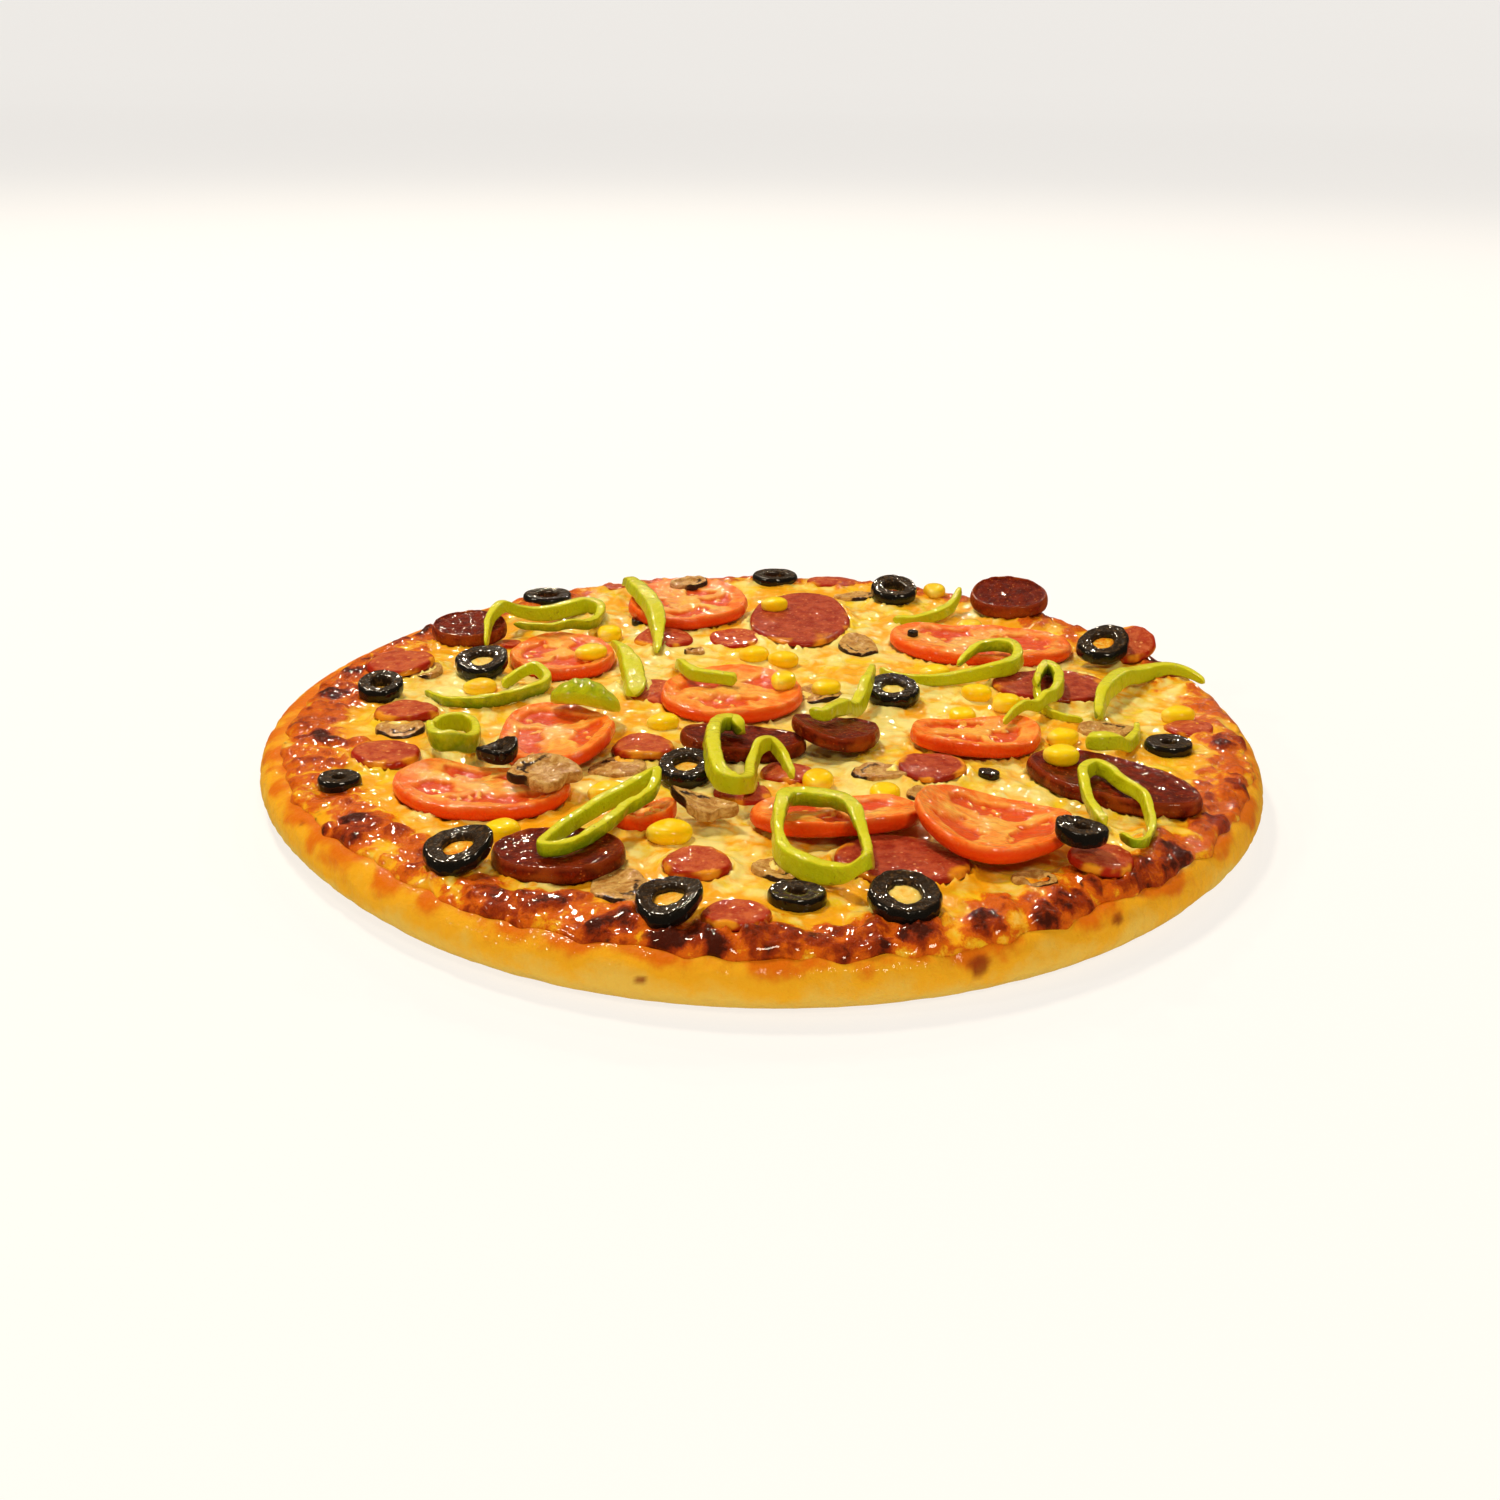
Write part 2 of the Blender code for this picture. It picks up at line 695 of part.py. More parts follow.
class HeightMap:
    """The height of everything laid so far on a fine square grid, and which object is on top there."""

    STEP = 1.0
    REACH = 165

    def __init__(self):
        side = 2 * self.REACH + 1
        self.top = np.full((side, side), -1.0)
        self.owner = np.full((side, side), -1)
        self.names = []

    def cells(self, triangle):
        """Grid cells under a triangle and the triangle's height at each."""
        (ax, ay, az), (bx, by, bz), (cx, cy, cz) = triangle
        area = (bx - ax) * (cy - ay) - (cx - ax) * (by - ay)
        if abs(area) < 1e-6:
            return None
        low_x = max(-self.REACH, math.floor(min(ax, bx, cx)))
        high_x = min(self.REACH, math.ceil(max(ax, bx, cx)))
        low_y = max(-self.REACH, math.floor(min(ay, by, cy)))
        high_y = min(self.REACH, math.ceil(max(ay, by, cy)))
        gx, gy = np.meshgrid(np.arange(low_x, high_x + 1), np.arange(low_y, high_y + 1), indexing="ij")
        share_b = ((gx - ax) * (cy - ay) - (cx - ax) * (gy - ay)) / area
        share_c = ((bx - ax) * (gy - ay) - (gx - ax) * (by - ay)) / area
        inside = (share_b >= -0.02) & (share_c >= -0.02) & (share_b + share_c <= 1.02)
        heights = az + share_b * (bz - az) + share_c * (cz - az)
        return gx[inside] + self.REACH, gy[inside] + self.REACH, heights[inside]

    def lay(self, name, points, triangles):
        """Adds an object's upper surface."""
        self.names.append(name)
        for triangle in triangles:
            found = self.cells([points[i] for i in triangle])
            if found is None:
                continue
            rows, columns, heights = found
            higher = heights > self.top[rows, columns]
            self.top[rows[higher], columns[higher]] = heights[higher]
            self.owner[rows[higher], columns[higher]] = len(self.names) - 1

    def widened(self):
        """The heights, each cell as high as its highest neighbour."""
        wide = self.top.copy()
        for dx in (-1, 0, 1):
            for dy in (-1, 0, 1):
                wide = np.maximum(wide, np.roll(np.roll(self.top, dx, 0), dy, 1))
        return wide

    def at(self, x, y, grid=None):
        """The height at a place."""
        grid = self.top if grid is None else grid
        return float(grid[int(round(x)) + self.REACH, int(round(y)) + self.REACH])

    def lift_needed(self, points, triangles, grid):
        """How far a mesh must rise to clear what was laid before it by the gap."""
        lift = -1e9
        for triangle in triangles:
            found = self.cells([points[i] for i in triangle])
            if found is None or not len(found[2]):
                continue
            rows, columns, heights = found
            lift = max(lift, float(np.max(grid[rows, columns] + GAP - heights)))
        return lift


def triangles_of(faces):
    """Each face split into triangles."""
    return [(face[0], face[i], face[i + 1]) for face in faces for i in range(1, len(face) - 1)]


def outline_of(piece):
    """A slice's outline in plan, in its own frame, from its kind, size and cut."""
    long, wide = piece.size
    sides = 9 if piece.name.startswith("sunk") else OUTLINE_SIDES.get(piece.kind, 12)
    roughness = OUTLINE_ROUGHNESS.get(piece.kind, 0.04)
    outline = []
    for i in range(sides):
        angle = math.tau * i / sides
        reach = 1.0 + roughness * wander(piece.name, angle)
        x, y = math.cos(angle) * reach, math.sin(angle) * reach
        if piece.kind == "mushroom":
            stalk = math.exp(-(((angle - 1.5 * math.pi) / 0.55) ** 2))
            pinch = math.exp(-(((abs(angle - 1.5 * math.pi) - 0.85) / 0.35) ** 2))
            y *= 1.0 + 0.35 * stalk
            x *= 1.0 - 0.25 * pinch
            y *= 1.0 - 0.35 * pinch
        if piece.cut < 1.0:
            y = min(y, 2.0 * piece.cut - 1.0 + 0.05 * math.sin(5.0 * x))
        outline.append((0.5 * long * x, 0.5 * wide * y))
    return outline


def slab(outline, thickness, crown=0.0, rings=(0.55, 0.92)):
    """A rounded slab: points (x, y, height above its underside) and faces."""
    sides = len(outline)
    middle = np.mean(outline, axis=0)
    levels = [(share, thickness) for share in rings] + [(1.0, 0.5 * thickness)]
    levels += [(share, 0.0) for share in reversed(rings)]
    points = []
    for k, (share, height) in enumerate(levels):
        bulge = crown * (1.0 - share * share)
        for x, y in outline:
            across, along = middle[0] + share * (x - middle[0]), middle[1] + share * (y - middle[1])
            points.append((across, along, height + bulge))
    points += [(middle[0], middle[1], thickness + crown), (middle[0], middle[1], crown)]
    faces = fan_faces(0, sides, len(points) - 2)
    for k in range(len(levels) - 1):
        faces += ring_faces((k + 1) * sides, k * sides, sides)
    faces += fan_faces((len(levels) - 1) * sides, sides, len(points) - 1, reverse=True)
    return points, faces


def ring_slab(outline, thickness, hole):
    """A slab with a round hole: a ring of olive."""
    sides = len(outline)
    points = []
    section = ((hole, thickness), (0.94, thickness), (1.0, 0.35 * thickness), (0.94, 0.0), (hole, 0.0))
    for share, height in section:
        for x, y in outline:
            points.append((share * x, share * y, height))
    faces = []
    for k in range(5):
        faces += ring_faces(((k + 1) % 5) * sides, k * sides, sides)
    return points, faces


def resting_surface(places, heights, stiffness):
    """A tilted, slightly bent surface just above the heights at these places, as six coefficients."""
    places, heights = np.array(places), np.array(heights)
    x, y = places[:, 0], places[:, 1]
    terms = np.stack([np.ones_like(x), x, y, x * x, x * y, y * y], axis=1)
    hold = np.diag([0.0, 0.0, 0.0, *[stiffness * float(np.mean(x**4 + y**4)) * len(x)] * 3])
    weights = np.ones(len(x))
    for _ in range(14):
        weighted = terms * weights[:, None]
        surface = np.linalg.solve(terms.T @ weighted + hold + 1e-9 * np.eye(6), weighted.T @ heights)
        weights = np.where(heights > terms @ surface, 1.0, 0.03)
    steepness = math.hypot(surface[1], surface[2])
    surface[1:3] *= min(1.0, STEEPEST_TILT / max(steepness, 1e-9))
    surface[0] += float(np.max(heights - terms @ surface))
    return surface


def surface_height(surface, x, y):
    """The height of a resting surface at a place in the piece's own frame."""
    return float(surface @ np.array([1.0, x, y, x * x, x * y, y * y]))


def rounded_cup(outline, thickness):
    """A shallow cup lying open side down, as a piece cut from a pepper's side."""
    return slab(outline, thickness, crown=2.2, rings=(0.4, 0.75, 0.95))


def shape_of(piece):
    """A slice's own shape, lying flat."""
    outline = outline_of(piece)
    thickness = THICKNESS["pepper" if piece.kind.startswith("pepper") else piece.kind]
    if piece.kind == "olive":
        return ring_slab(outline, thickness, 0.46 if min(piece.size) > 12.5 else 0.3)
    if piece.kind == "pepper_cup":
        return rounded_cup(outline, thickness)
    rings = (0.55, 0.93) if piece.kind in ("tomato", "salami") else (0.93,)
    return slab(outline, thickness, rings=rings)


def lay_slice(piece, below):
    """Turns a slice, finds how it rests on what is below it, and makes its object."""
    flat, faces = shape_of(piece)
    turn = math.radians(piece.turn)
    cosine, sine = math.cos(turn), math.sin(turn)
    local = [(x * cosine - y * sine, x * sine + y * cosine, height) for x, y, height in flat]
    towards, rise = math.radians(piece.lean[0]), piece.lean[1]
    reach = [x * math.cos(towards) + y * math.sin(towards) for x, y, _ in local]
    grid = below.widened()
    triangles = triangles_of(faces)
    middle_height = CHEESE_LEVEL + 2.5
    for _ in range(3):
        at = place_on_pizza(piece.seen_at, middle_height, SLICE_REACH)
        heights = [below.at(at[0] + x, at[1] + y, grid) for x, y, _ in local]
        surface = resting_surface([(x, y) for x, y, _ in local], heights, STIFFNESS.get(piece.kind, 0.02))
        points = []
        for (x, y, height), along in zip(local, reach):
            lean = rise * (along - min(reach)) / (max(reach) - min(reach))
            points.append((at[0] + x, at[1] + y, surface_height(surface, x, y) + height + lean))
        lift = below.lift_needed(points, triangles, grid)
        points = [(x, y, z + lift) for x, y, z in points]
        middle_height = 0.5 * (min(p[2] for p in points) + max(p[2] for p in points))
    below.lay(piece.name, points, triangles)
    return add_object(piece.name, piece.kind, points, faces)


def even_stops(length, count, closed):
    """Evenly spaced distances along a line, the last one left out where it would repeat the first."""
    return np.linspace(0.0, length, count + 1)[:-1] if closed else np.linspace(0.0, length, count)


def smooth_line(places, count, closed):
    """Points evenly spaced along a smooth curve through the given places."""
    places = [np.array(p) for p in places]
    last = len(places) if closed else len(places) - 1
    fine = []
    for i in range(last):
        if closed:
            a, b, c, d = (places[(i + k) % len(places)] for k in (-1, 0, 1, 2))
        else:
            b, c = places[i], places[i + 1]
            a = places[i - 1] if i else 2.0 * b - c
            d = places[i + 2] if i + 2 < len(places) else 2.0 * c - b
        for t in np.linspace(0.0, 1.0, 12, endpoint=False):
            square = (2 * a - 5 * b + 4 * c - d) * t**2
            cube = (3 * b - a - 3 * c + d) * t**3
            fine.append(0.5 * (2 * b + (c - a) * t + square + cube))
    fine.append(places[0] if closed else places[-1])
    fine = np.array(fine)
    travelled = np.concatenate([[0.0], np.cumsum(np.linalg.norm(np.diff(fine, axis=0), axis=1))])
    stops = even_stops(travelled[-1], count, closed)
    return np.stack([np.interp(stops, travelled, fine[:, k]) for k in range(fine.shape[1])], axis=1)


def ribbon(line, floors, widths, heights, closed):
    """A ribbon standing on its edge along a line: points and faces, with its ends closed if it is open."""
    count = len(line)
    ahead = np.roll(line, -1, axis=0) - np.roll(line, 1, axis=0)
    if not closed:
        ahead[0], ahead[-1] = line[1] - line[0], line[-1] - line[-2]
    ahead = ahead / np.linalg.norm(ahead, axis=1)[:, None]
    side = np.stack([ahead[:, 1], -ahead[:, 0]], axis=1)
    points = []
    for i in range(count):
        half = 0.5 * widths[i]
        for reach, level in ((-0.8, 0.0), (1.0, 0.12), (0.8, 1.0), (-1.0, 0.88)):
            x, y = line[i] + side[i] * half * reach
            points.append((float(x), float(y), float(floors[i] + heights[i] * level)))
    faces = []
    for i in range(count if closed else count - 1):
        here, there = 4 * i, 4 * ((i + 1) % count)
        for k in range(4):
            faces.append((here + k, there + k, there + (k + 1) % 4, here + (k + 1) % 4))
    if not closed:
        faces += [(0, 1, 2, 3), (4 * count - 4, 4 * count - 1, 4 * count - 2, 4 * count - 3)]
    return points, faces


def along_ribbon(values, count, closed):
    """A few values spread evenly along a ribbon and blended between."""
    values = (*values, values[0]) if closed else values
    return np.interp(even_stops(1.0, count, closed), np.linspace(0.0, 1.0, len(values)), values)


def ribbon_floors(line, widths, below, grid, closed):
    """The heights that a ribbon rests at: over every bump below it, and smooth from end to end."""
    bumps = []
    for (x, y), width in zip(line, widths):
        reach = range(-int(0.5 * width + 1.5), int(0.5 * width + 1.5) + 1)
        bumps.append(max(below.at(x + dx, y + dy, grid) for dx in reach for dy in reach))
    floors = np.array(bumps)
    for _ in range(3):
        before, after = np.roll(floors, 1), np.roll(floors, -1)
        if not closed:
            before[0], after[-1] = floors[0], floors[-1]
        floors = np.maximum(bumps, 0.25 * before + 0.5 * floors + 0.25 * after)
    return floors


def ribbon_over(piece, below):
    """A ribbon resting on what is below it, where the photograph shows it."""
    grid = below.widened()
    widths = along_ribbon(piece.width, piece.stations, piece.closed)
    heights = along_ribbon(piece.height, piece.stations, piece.closed)
    places = [place_on_pizza(place, piece.level, RIBBON_REACH) for place in piece.seen_along]
    line = smooth_line(places, piece.stations, piece.closed)
    floors = ribbon_floors(line, widths, below, grid, piece.closed)
    points, faces = ribbon(line, floors, widths, heights, piece.closed)
    lift = max(0.0, below.lift_needed(points, triangles_of(faces), grid))
    return [(x, y, z + lift) for x, y, z in points], faces


def join_into(carrier, others):
    """Fuses objects into the one that carries them, with one Boolean union on a collection."""
    gathered = bpy.data.collections.new("joined to " + carrier.name)
    bpy.context.scene.collection.children.link(gathered)
    for other in others:
        bpy.context.scene.collection.objects.unlink(other)
        gathered.objects.link(other)
    union = carrier.modifiers.new("join", "BOOLEAN")
    union.operation = "UNION"
    union.operand_type = "COLLECTION"
    union.collection = gathered
    union.solver = "MANIFOLD"
    graph = bpy.context.evaluated_depsgraph_get()
    joined = bpy.data.meshes.new_from_object(carrier.evaluated_get(graph))
    carrier.modifiers.clear()
    carrier.data = joined
    for other in others:
        bpy.data.objects.remove(other)
    bpy.data.collections.remove(gathered)


def lay_strips(below, objects):
    """Makes the ribbons of pepper, each tail before the ribbon that it is joined to."""
    tails = {}
    for piece in sorted(STRIPS, key=lambda strip: not strip.joined_to):
        points, faces = ribbon_over(piece, below)
        made = add_object(piece.name, "pepper", points, faces)
        if piece.joined_to:
            tails.setdefault(piece.joined_to, []).append((made, points, faces))
            continue
        objects[piece.name] = made
        below.lay(piece.name, points, triangles_of(faces))
        for tail, tail_points, tail_faces in tails.get(piece.name, []):
            join_into(made, [tail])
            below.lay(piece.name, tail_points, triangles_of(tail_faces))


def kernel_shape(seed):
    """A grain of sweetcorn lying flat: plump at one end and narrow at the other."""
    draw = random.Random(seed)
    long, wide, high = (size * draw.uniform(0.93, 1.07) for size in KERNEL_SIZE)
    sides = 7
    points = []
    for share, level in ((0.62, 1.0), (1.0, 0.62), (0.72, 0.0)):
        for i in range(sides):
            x, y = math.cos(math.tau * i / sides), math.sin(math.tau * i / sides)
            y *= 1.0 - 0.28 * max(0.0, -x)
            points.append((0.5 * long * x * share, 0.5 * wide * y * share, high * level))
    points += [(0.0, 0.0, high), (0.0, 0.0, 0.0)]
    faces = fan_faces(0, sides, len(points) - 2)
    faces += ring_faces(sides, 0, sides) + ring_faces(2 * sides, sides, sides)
    faces += fan_faces(2 * sides, sides, len(points) - 1, reverse=True)
    return points, faces


def carrier_under(at, reach, below):
    """The name of the one object that everything within reach of a place belongs to, or None."""
    side = np.arange(2 * below.REACH + 1) - below.REACH
    near = (side[:, None] - at[0]) ** 2 + (side[None, :] - at[1]) ** 2 <= reach**2
    owners = set(int(owner) for owner in below.owner[near])
    return below.names[owners.pop()] if len(owners) == 1 else None


def sink_small_pieces(below, objects):
    """Sinks the sweetcorn and the small olives into what carries them, and fuses them to it."""
    grouped = {}
    room = 0.5 * KERNEL_SIZE[0] + 0.9
    small = [(f"kernel_{i}", "corn", k.seen_at, k.turn, kernel_shape(i), room) for i, k in enumerate(KERNELS)]
    small += [(s.name, "olive", s.seen_at, s.turn, shape_of(s), 0.5 * s.size[0] + 0.7) for s in SUNK_OLIVES]
    for name, kind, seen_at, turn, (flat, faces), reach in small:
        at = plan_point(seen_at, SMALL_PIECE_LEVEL)
        carrier = carrier_under(at, reach, below)
        if carrier is None:
            raise ValueError(f"{name} would touch two pieces where it lies")
        cosine, sine = math.cos(math.radians(turn)), math.sin(math.radians(turn))
        ground = below.at(*at)
        sunk = KERNEL_SUNK if kind == "corn" else SUNK_OLIVE_DEPTH
        if carrier == "cheese":
            angle = math.atan2(at[1], at[0]) % math.tau
            edge = max(dough_height(math.hypot(*at) + side, angle) for side in (-reach, 0, reach))
            sunk = min(sunk, ground - EDGE_GAP - edge - 0.3)
        turned = [(x * cosine - y * sine, x * sine + y * cosine, z) for x, y, z in flat]
        points = [(at[0] + x, at[1] + y, ground - sunk + z) for x, y, z in turned]
        shape = add_object(name, "cheese" if kind == "corn" else kind, points, faces)
        grouped.setdefault(carrier, []).append(shape)
        below.lay(name, points, triangles_of(faces))
    for carrier, pieces in grouped.items():
        join_into(objects[carrier], pieces)


def main():
    """Builds the pizza from the dough up."""
    clear_scene()
    objects = {"dough": make_dough(), "cheese": make_cheese(CheeseRelief())}
    below = HeightMap()
    for name, made in objects.items():
        faces = [tuple(face.vertices) for face in made.data.polygons]
        below.lay(name, [tuple(vertex.co / MM) for vertex in made.data.vertices], triangles_of(faces))
    for piece in SLICES:
        objects[piece.name] = lay_slice(piece, below)
    lay_strips(below, objects)
    sink_small_pieces(below, objects)


main()
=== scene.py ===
"""The looks of a round pan pizza with mixed toppings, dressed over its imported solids.

Each solid is read where it lies and a finer piece stands for it: the dough and the melted cheese as dense
lofted surfaces, the slices as slabs with their own relief, the peppers as smooth ribbons. Sweetcorn, small
olives and the slices that the cheese has closed round are laid where the solids carry them.

Lengths in this file are in millimetres and become metres as each mesh is made. -Y faces the viewer.
"""

import itertools
import logging
import math
import random
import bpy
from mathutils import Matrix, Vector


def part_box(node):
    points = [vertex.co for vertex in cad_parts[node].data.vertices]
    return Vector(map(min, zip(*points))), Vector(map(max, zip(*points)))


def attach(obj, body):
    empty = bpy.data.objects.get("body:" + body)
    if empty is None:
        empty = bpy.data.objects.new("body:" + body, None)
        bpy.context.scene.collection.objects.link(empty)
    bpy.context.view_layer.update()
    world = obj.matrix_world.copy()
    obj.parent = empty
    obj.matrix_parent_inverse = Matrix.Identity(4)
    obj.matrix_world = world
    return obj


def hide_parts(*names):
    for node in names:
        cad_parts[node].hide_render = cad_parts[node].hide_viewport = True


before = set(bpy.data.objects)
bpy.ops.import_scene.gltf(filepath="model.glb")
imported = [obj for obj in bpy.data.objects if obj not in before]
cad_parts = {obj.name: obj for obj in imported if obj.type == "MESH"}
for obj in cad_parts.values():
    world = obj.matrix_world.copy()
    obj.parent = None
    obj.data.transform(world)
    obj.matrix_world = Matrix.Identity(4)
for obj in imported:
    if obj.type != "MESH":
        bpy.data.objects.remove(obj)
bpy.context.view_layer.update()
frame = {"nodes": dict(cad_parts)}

import zlib
from dataclasses import dataclass, field
from enum import Enum
from typing import ClassVar

import bpy
import numpy as np
from mathutils import Matrix, Vector
from mathutils.bvhtree import BVHTree

Array = np.ndarray
Pair = tuple[float, float]
Triple = tuple[float, float, float]
Colour = Triple
Row = tuple[float, ...]
Line = tuple[Pair, ...]
Faces = list[list[int]]
Shape = tuple[Array, Faces, dict[str, Array]]
Socket = bpy.types.NodeSocket
Material = bpy.types.Material
Inputs = dict[str | int, Socket | float | Colour]
Piece = bpy.types.Object

MM = 0.001
DOWN = Vector((0.0, 0.0, -1.0))
UP = Vector((0.0, 0.0, 1.0))
OVER_ALL = 90.0
BELOW_ALL = -5.0
DIRECTIONS = 96
log = logging.getLogger("pizza")


class Kind(Enum):
    """The kinds of topping, each named as the first word of its solids' names."""

    TOMATO = "tomato"
    SALAMI = "salami"
    SAUSAGE = "sausage"
    SUCUK = "sucuk"
    MUSHROOM = "mushroom"
    OLIVE = "olive"
    PEPPER = "pepper"


THICKNESS = {
    Kind.SALAMI: 1.8,
    Kind.SAUSAGE: 2.6,
    Kind.SUCUK: 4.4,
    Kind.TOMATO: 4.6,
    Kind.MUSHROOM: 3.0,
    Kind.OLIVE: 4.2,
    Kind.PEPPER: 3.4,
}


@dataclass(frozen=True)
class Strip:
    """A ribbon of pepper: its line in the photograph, how high it lies, its widths and heights."""

    name: str
    seen_along: Line
    level: float
    width: Row
    height: Row
    closed: bool = False
    stations: int = 16
    joined_to: str = ""

    def stops(self) -> Array:
        """How far along the ribbon each station is, as a share."""
        return np.linspace(0.0, 1.0, self.stations, endpoint=not self.closed)


STRIPS = (
    Strip(
        "pepper_1",
        ((502, 683), (520, 675), (540, 675), (546, 683), (526, 691), (485, 700), (448, 698), (425, 686)),
        18.5, (2.4, 3.4, 3, 1.6), (3.5, 4.5, 4.5, 2), stations=17,
    ),
    Strip(
        "pepper_2",
        ((432, 736), (440, 722), (458, 717), (472, 723), (475, 735), (464, 746), (448, 751), (436, 747)),
        20, (3.2, 2.6, 3.4, 3.8), (6, 5.5, 6, 6.5), closed=True,
    ),
    Strip(
        "pepper_3",
        ((486, 643), (492, 626), (512, 615), (548, 609), (582, 602), (599, 603), (592, 618), (552, 629),
         (514, 627)),
        21, (1.8, 4.2, 5, 3.2, 2), (3, 4.5, 5.5, 4, 2.5), stations=18,
    ),
    Strip(
        "pepper_4",
        ((625, 582), (634, 592), (647, 604), (657, 620), (657, 637)),
        22.5, (4, 7.5, 7, 2.5), (3, 4.5, 4.5, 2.5), stations=11,
    ),
    Strip(
        "pepper_5",
        ((612, 646), (621, 654), (630, 667), (634, 680), (634, 690)),
        19.5, (1.6, 5, 8.5, 9, 6), (2.4, 3.4, 3.6, 3.6, 3), stations=8,
    ),
    Strip(
        "pepper_7",
        ((678, 654), (680, 667), (695, 678), (714, 679), (737, 681)),
        20.5, (2, 2.6, 4, 4.6), (3, 3.6, 4, 3.6), stations=12,
    ),
    Strip(
        "pepper_8",
        ((742, 732), (731, 724), (716, 732), (711, 754), (718, 775), (736, 783), (750, 773), (752, 757),
         (763, 743), (779, 743), (794, 761)),
        22.5, (4.8, 5.6, 5.4, 3.4, 2.6), (4.8, 5.4, 5.8, 4.8, 2.8), stations=20,
    ),
    Strip(
        "pepper_9",
        ((809, 720), (822, 723), (838, 713), (854, 700), (867, 685), (874, 670)),
        22.5, (2.2, 5, 4.6, 2.2), (3, 5, 5, 3), stations=12,
    ),
    Strip(
        "pepper_10",
        ((893, 615), (914, 617), (936, 613), (950, 607), (960, 602)),
        20, (2.4, 4, 4.4, 2.4), (2.5, 3.6, 4, 3), stations=11,
    ),
    Strip(
        "pepper_11",
        ((880, 662), (897, 670), (930, 674), (964, 674), (995, 673), (1013, 668), (1018, 660), (1009, 652),
         (988, 650), (969, 655), (958, 661)),
        20, (1.8, 3, 4.4, 4.4, 2.6), (3, 3.6, 5.2, 4.8, 2.6), stations=19,
    ),
    Strip(
        "pepper_12",
        ((1003, 724), (1019, 711), (1042, 702), (1058, 690), (1057, 676), (1046, 669), (1037, 679),
         (1036, 691)),
        20, (1.6, 2.6, 4.4, 4, 2.4), (2.4, 3.6, 5, 5, 3), stations=16,
    ),
    Strip(
        "pepper_12_tail",
        ((1036, 690), (1037, 700), (1047, 710), (1063, 715), (1083, 719)),
        17.5, (2.4, 2.6, 1.6), (3, 2.8, 2), stations=9, joined_to="pepper_12",
    ),
    Strip(
        "pepper_13",
        ((1099, 714), (1103, 699), (1120, 683), (1146, 673), (1172, 670), (1196, 675), (1214, 679)),
        19, (3.6, 5.4, 6.6, 5, 1.8), (4, 5.5, 5.5, 4, 2), stations=15,
    ),
    Strip(
        "pepper_14",
        ((1085, 747), (1103, 749), (1123, 745), (1136, 732), (1138, 719)),
        19, (7, 5, 3, 1.8), (4, 4.6, 3.8, 2.4), stations=12,
    ),
    Strip(
        "pepper_15",
        ((1106, 818), (1094, 804), (1083, 784), (1088, 772), (1103, 772), (1121, 786), (1141, 799),
         (1152, 818), (1146, 837), (1133, 845), (1119, 838)),
        20.5, (3.6, 3.8, 2.8, 2.6, 1.8), (4.4, 4.8, 4, 4, 2.4), stations=20,
    ),
    Strip(
        "pepper_16",
        ((788, 800), (778, 822), (783, 842), (806, 855), (836, 862), (862, 872), (870, 857), (864, 835),
         (850, 815), (824, 802)),
        22.5, (6, 3.6, 5, 3.4, 3.2, 5.8), (5, 5.5, 6, 4.5, 4, 4.5), closed=True, stations=22,
    ),
    Strip(
        "pepper_17",
        ((543, 847), (566, 825), (600, 806), (634, 792), (655, 790), (650, 800), (626, 809), (604, 826),
         (574, 844)),
        22, (3, 3.2, 4, 3, 3.4), (4, 4, 4.5, 4, 4), closed=True, stations=20,
    ),
)


@dataclass(frozen=True)
class Grain:
    """A grain of sweetcorn: its middle in the photograph, how it is turned, and the solid that carries it."""

    seen_at: Pair
    turn: float
    carrier: str = "cheese"
    plump: float = 1.08


GRAINS = (
    Grain((480, 685), 5), Grain((609, 632), 60), Grain((591, 660), 20, "tomato_5"), Grain((663, 719), 10),
    Grain((774, 614), 10, "salami_1"), Grain((754, 653), 0), Grain((783, 657), -15),
    Grain((783, 690), 70, "tomato_3"), Grain((826, 686), 20), Grain((934, 596), 80), Grain((969, 624), 40),
    Grain((935, 673), 10), Grain((976, 693), -35), Grain((1006, 703), 40), Grain((962, 711), -60),
    Grain((1178, 713), 10), Grain((1063, 734), 15), Grain((1060, 766), -10, "sucuk_5"),
    Grain((885, 789), 75), Grain((818, 780), 85), Grain((669, 833), 4, plump=1.22), Grain((502, 827), -10),
    Grain((606, 789), 25),
)
GRAIN_SIZE = (9.2, 7.6, 5.4)
SMALL_PIECE_LEVEL = 17.4


@dataclass(frozen=True)
class Scrap:
    """A small slice that the cheese has closed round: its middle in the photograph, its size and its turn."""

    seen_at: Pair
    size: Pair
    turn: float = 0.0
    proud: float = 0.9
    level: float = 15.4

    def outline(self, seed: str, roughness: float) -> Array:
        """Draws its uneven oval.

        Args:
            seed: The same words always give the same outline.
            roughness: How uneven it is, as a share.

        Returns:
            How far it reaches in each direction.
        """
        angle = around(DIRECTIONS)
        turned = angle - math.radians(self.turn)
        oval = 0.5 / np.hypot(np.cos(turned) / self.size[0], np.sin(turned) / self.size[1])
        return oval * (1.0 + roughness * wander(seed, angle))


SUNK_OLIVES = (
    Scrap((548, 600), (17, 15)), Scrap((775, 582), (16.5, 15)), Scrap((1169, 742), (14, 12)),
    Scrap((797, 894), (14, 11)), Scrap((339, 779), (12, 10)),
)

